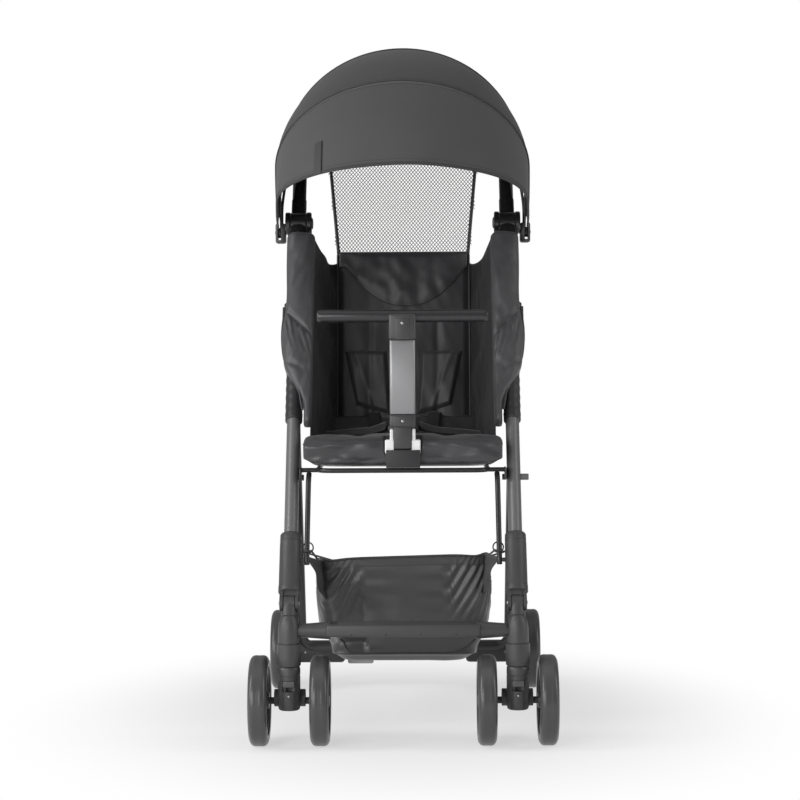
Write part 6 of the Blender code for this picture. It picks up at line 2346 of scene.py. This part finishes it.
    def corner(self, word: str, side: int) -> None:
        """Make the cords and the front corner tab of one side.

        Args:
            word: the side's name.
            side: -1 for left, 1 for right.
        """
        pivot_x, pivot_y, pivot_z = REAR_PIVOT
        slope = (REAR_AXLE_Y - pivot_y) / (pivot_z - BEAM_Z)
        hooks = {"front": (at(side * 0.1339, -0.2089, 0.266), 0.0064, -1),
                 "rear": (at(side * pivot_x, pivot_y + (pivot_z - self.hook_z) * slope, self.hook_z), 0.0107, 1)}
        for where, (centre, reach, front) in hooks.items():
            near = 0.1225 if front < 0 else 0.1085
            start = at(side * near, self.middle_y + front * (near + 0.017), self.rim(side * 0.9, front) - 0.001)
            hook = [centre + at(-side * reach * cos(turn), front * reach * sin(turn), 0.0)
                    for turn in (radians(angle) for angle in range(-20, 131, 10))]
            path = [start.lerp(hook[0], i / 10) for i in range(10)] + hook
            length = sum((b - a).length for a, b in zip(path, path[1:]))
            cord = put(tube(f"basket_cord_{where}_{word}", path, 0.0015, 14), WEBBING, "chassis", "basket_cloth")
            tuple(path[0])
            [tuple(point) for point in path]

        ring = [at(side * 0.1325 + 0.0072 * cos(turn), -0.206 + 0.002 * sin(turn),
                        0.27 + 0.0072 * sin(turn)) for turn in np.linspace(0.0, tau, 33)]
        put(tube(f"basket_hook_ring_{word}", ring, 0.001, 10), WIRE_FINISH, "chassis", "steel")

        def tab(across: float, down: float) -> Vector:
            """Return one point of the corner tab.

            Args:
                across: share of the way across.
                down: share of the way down.

            Returns:
                The point.
            """
            base = at(side * (0.1165 - 0.008 * down), self.middle_y - 0.1325 + 0.008 * down,
                           self.rim(side, -1.0) - 0.003 - 0.06 * down)
            tip = at(side * 0.1315, -0.195, 0.256 - 0.03 * down)
            point = base.lerp(tip, across * (1.0 - 0.6 * down))
            return point + X_AXIS * side * 0.002 * sin(9.0 * down) * across
        flap = woven(f"basket_corner_tab_{word}", tab, 16, 24, (0.058, 0.06))
        finish_sheet(flap, 16, 24, 0.0012)
        put(flap, BASKET_CLOTH, "chassis", "basket_cloth")


@dataclass
class Fasteners:
    """Rivets, screws and bolt heads."""

    def build(self) -> None:
        """Set each group of heads on its body."""
        maker = rivet_maker()
        groups = {
            ("bumper_rivets", "bumper"): [((0.0, -0.1847, 0.5826), FORWARD, 2.1),
                                          ((0.0, -0.1843, 0.4452), FORWARD, 2.1)],
            ("footrest_rivets", "lower_legs"): [((x, -0.2738, 0.1572), FORWARD, 1.7)
                                                for x in (-0.072, -0.024, 0.024, 0.072)],
            ("housing_screws", "rear_frame"): [((side * x, 0.2368, 0.057), FORWARD, 2.2)
                                               for side in (-1, 1) for x in (0.112, 0.16)],
        }
        for word, side in SIDES:
            out, knee, bolt = X_AXIS * side, leg_point(side, KNEE_Z), leg_point(side, SEAT_BOLT_Z)
            groups[(f"pin_heads_{word}", "chassis")] = [
                (knee + out * 0.0134, out, 3.0), (knee - out * 0.0134, -out, 3.0),
                (leg_point(side, STRUT_LUG_Z) - out * 0.0188, -out, 2.6),
                ((side * 0.1464, bolt.y, bolt.z), out, 2.4), ((side * 0.1435, bolt.y - 0.008, 0.37), -out, 2.2),
                ((side * 0.1922, *CANOPY_AXIS), out, 2.8)]
            groups[(f"lock_mark_{word}", f"caster_{word}")] = [((side * LEG_X, STEM_Y - 0.0155, 0.073), FORWARD, 1.4)]
        for (name, body), heads in groups.items():
            parts = [maker.over(f"{name}_{number}", [(Vector(place), out, Z_AXIS)], size, number, 0.0)
                     for number, (place, out, size) in enumerate(heads)]
            put(joined(name, parts), DARK_MOULDED if body == "lower_legs" else BOLT_FINISH, body, "steel")
        maker.done()


def main() -> None:
    """Build each sub-assembly in turn."""
    logging.basicConfig(level=logging.INFO, format="%(name)s: %(message)s")
    Studio().build()
    sew = stitch_maker()
    canopy = Canopy()
    canopy.build(sew)
    CanopyFrame().build(canopy)
    NetWindow().build()
    SideWings().build(sew)
    Backrest().build(sew)
    Seat().build()
    Harness().build()
    Bumper().build()
    PushHandle().build()
    Frame().build()
    LowerLegs().build()
    Wheels().build()
    RearFrame().build()
    Basket().build(sew)
    sew.done()
    Fasteners().build()


if __name__ == "__main__":
    main()
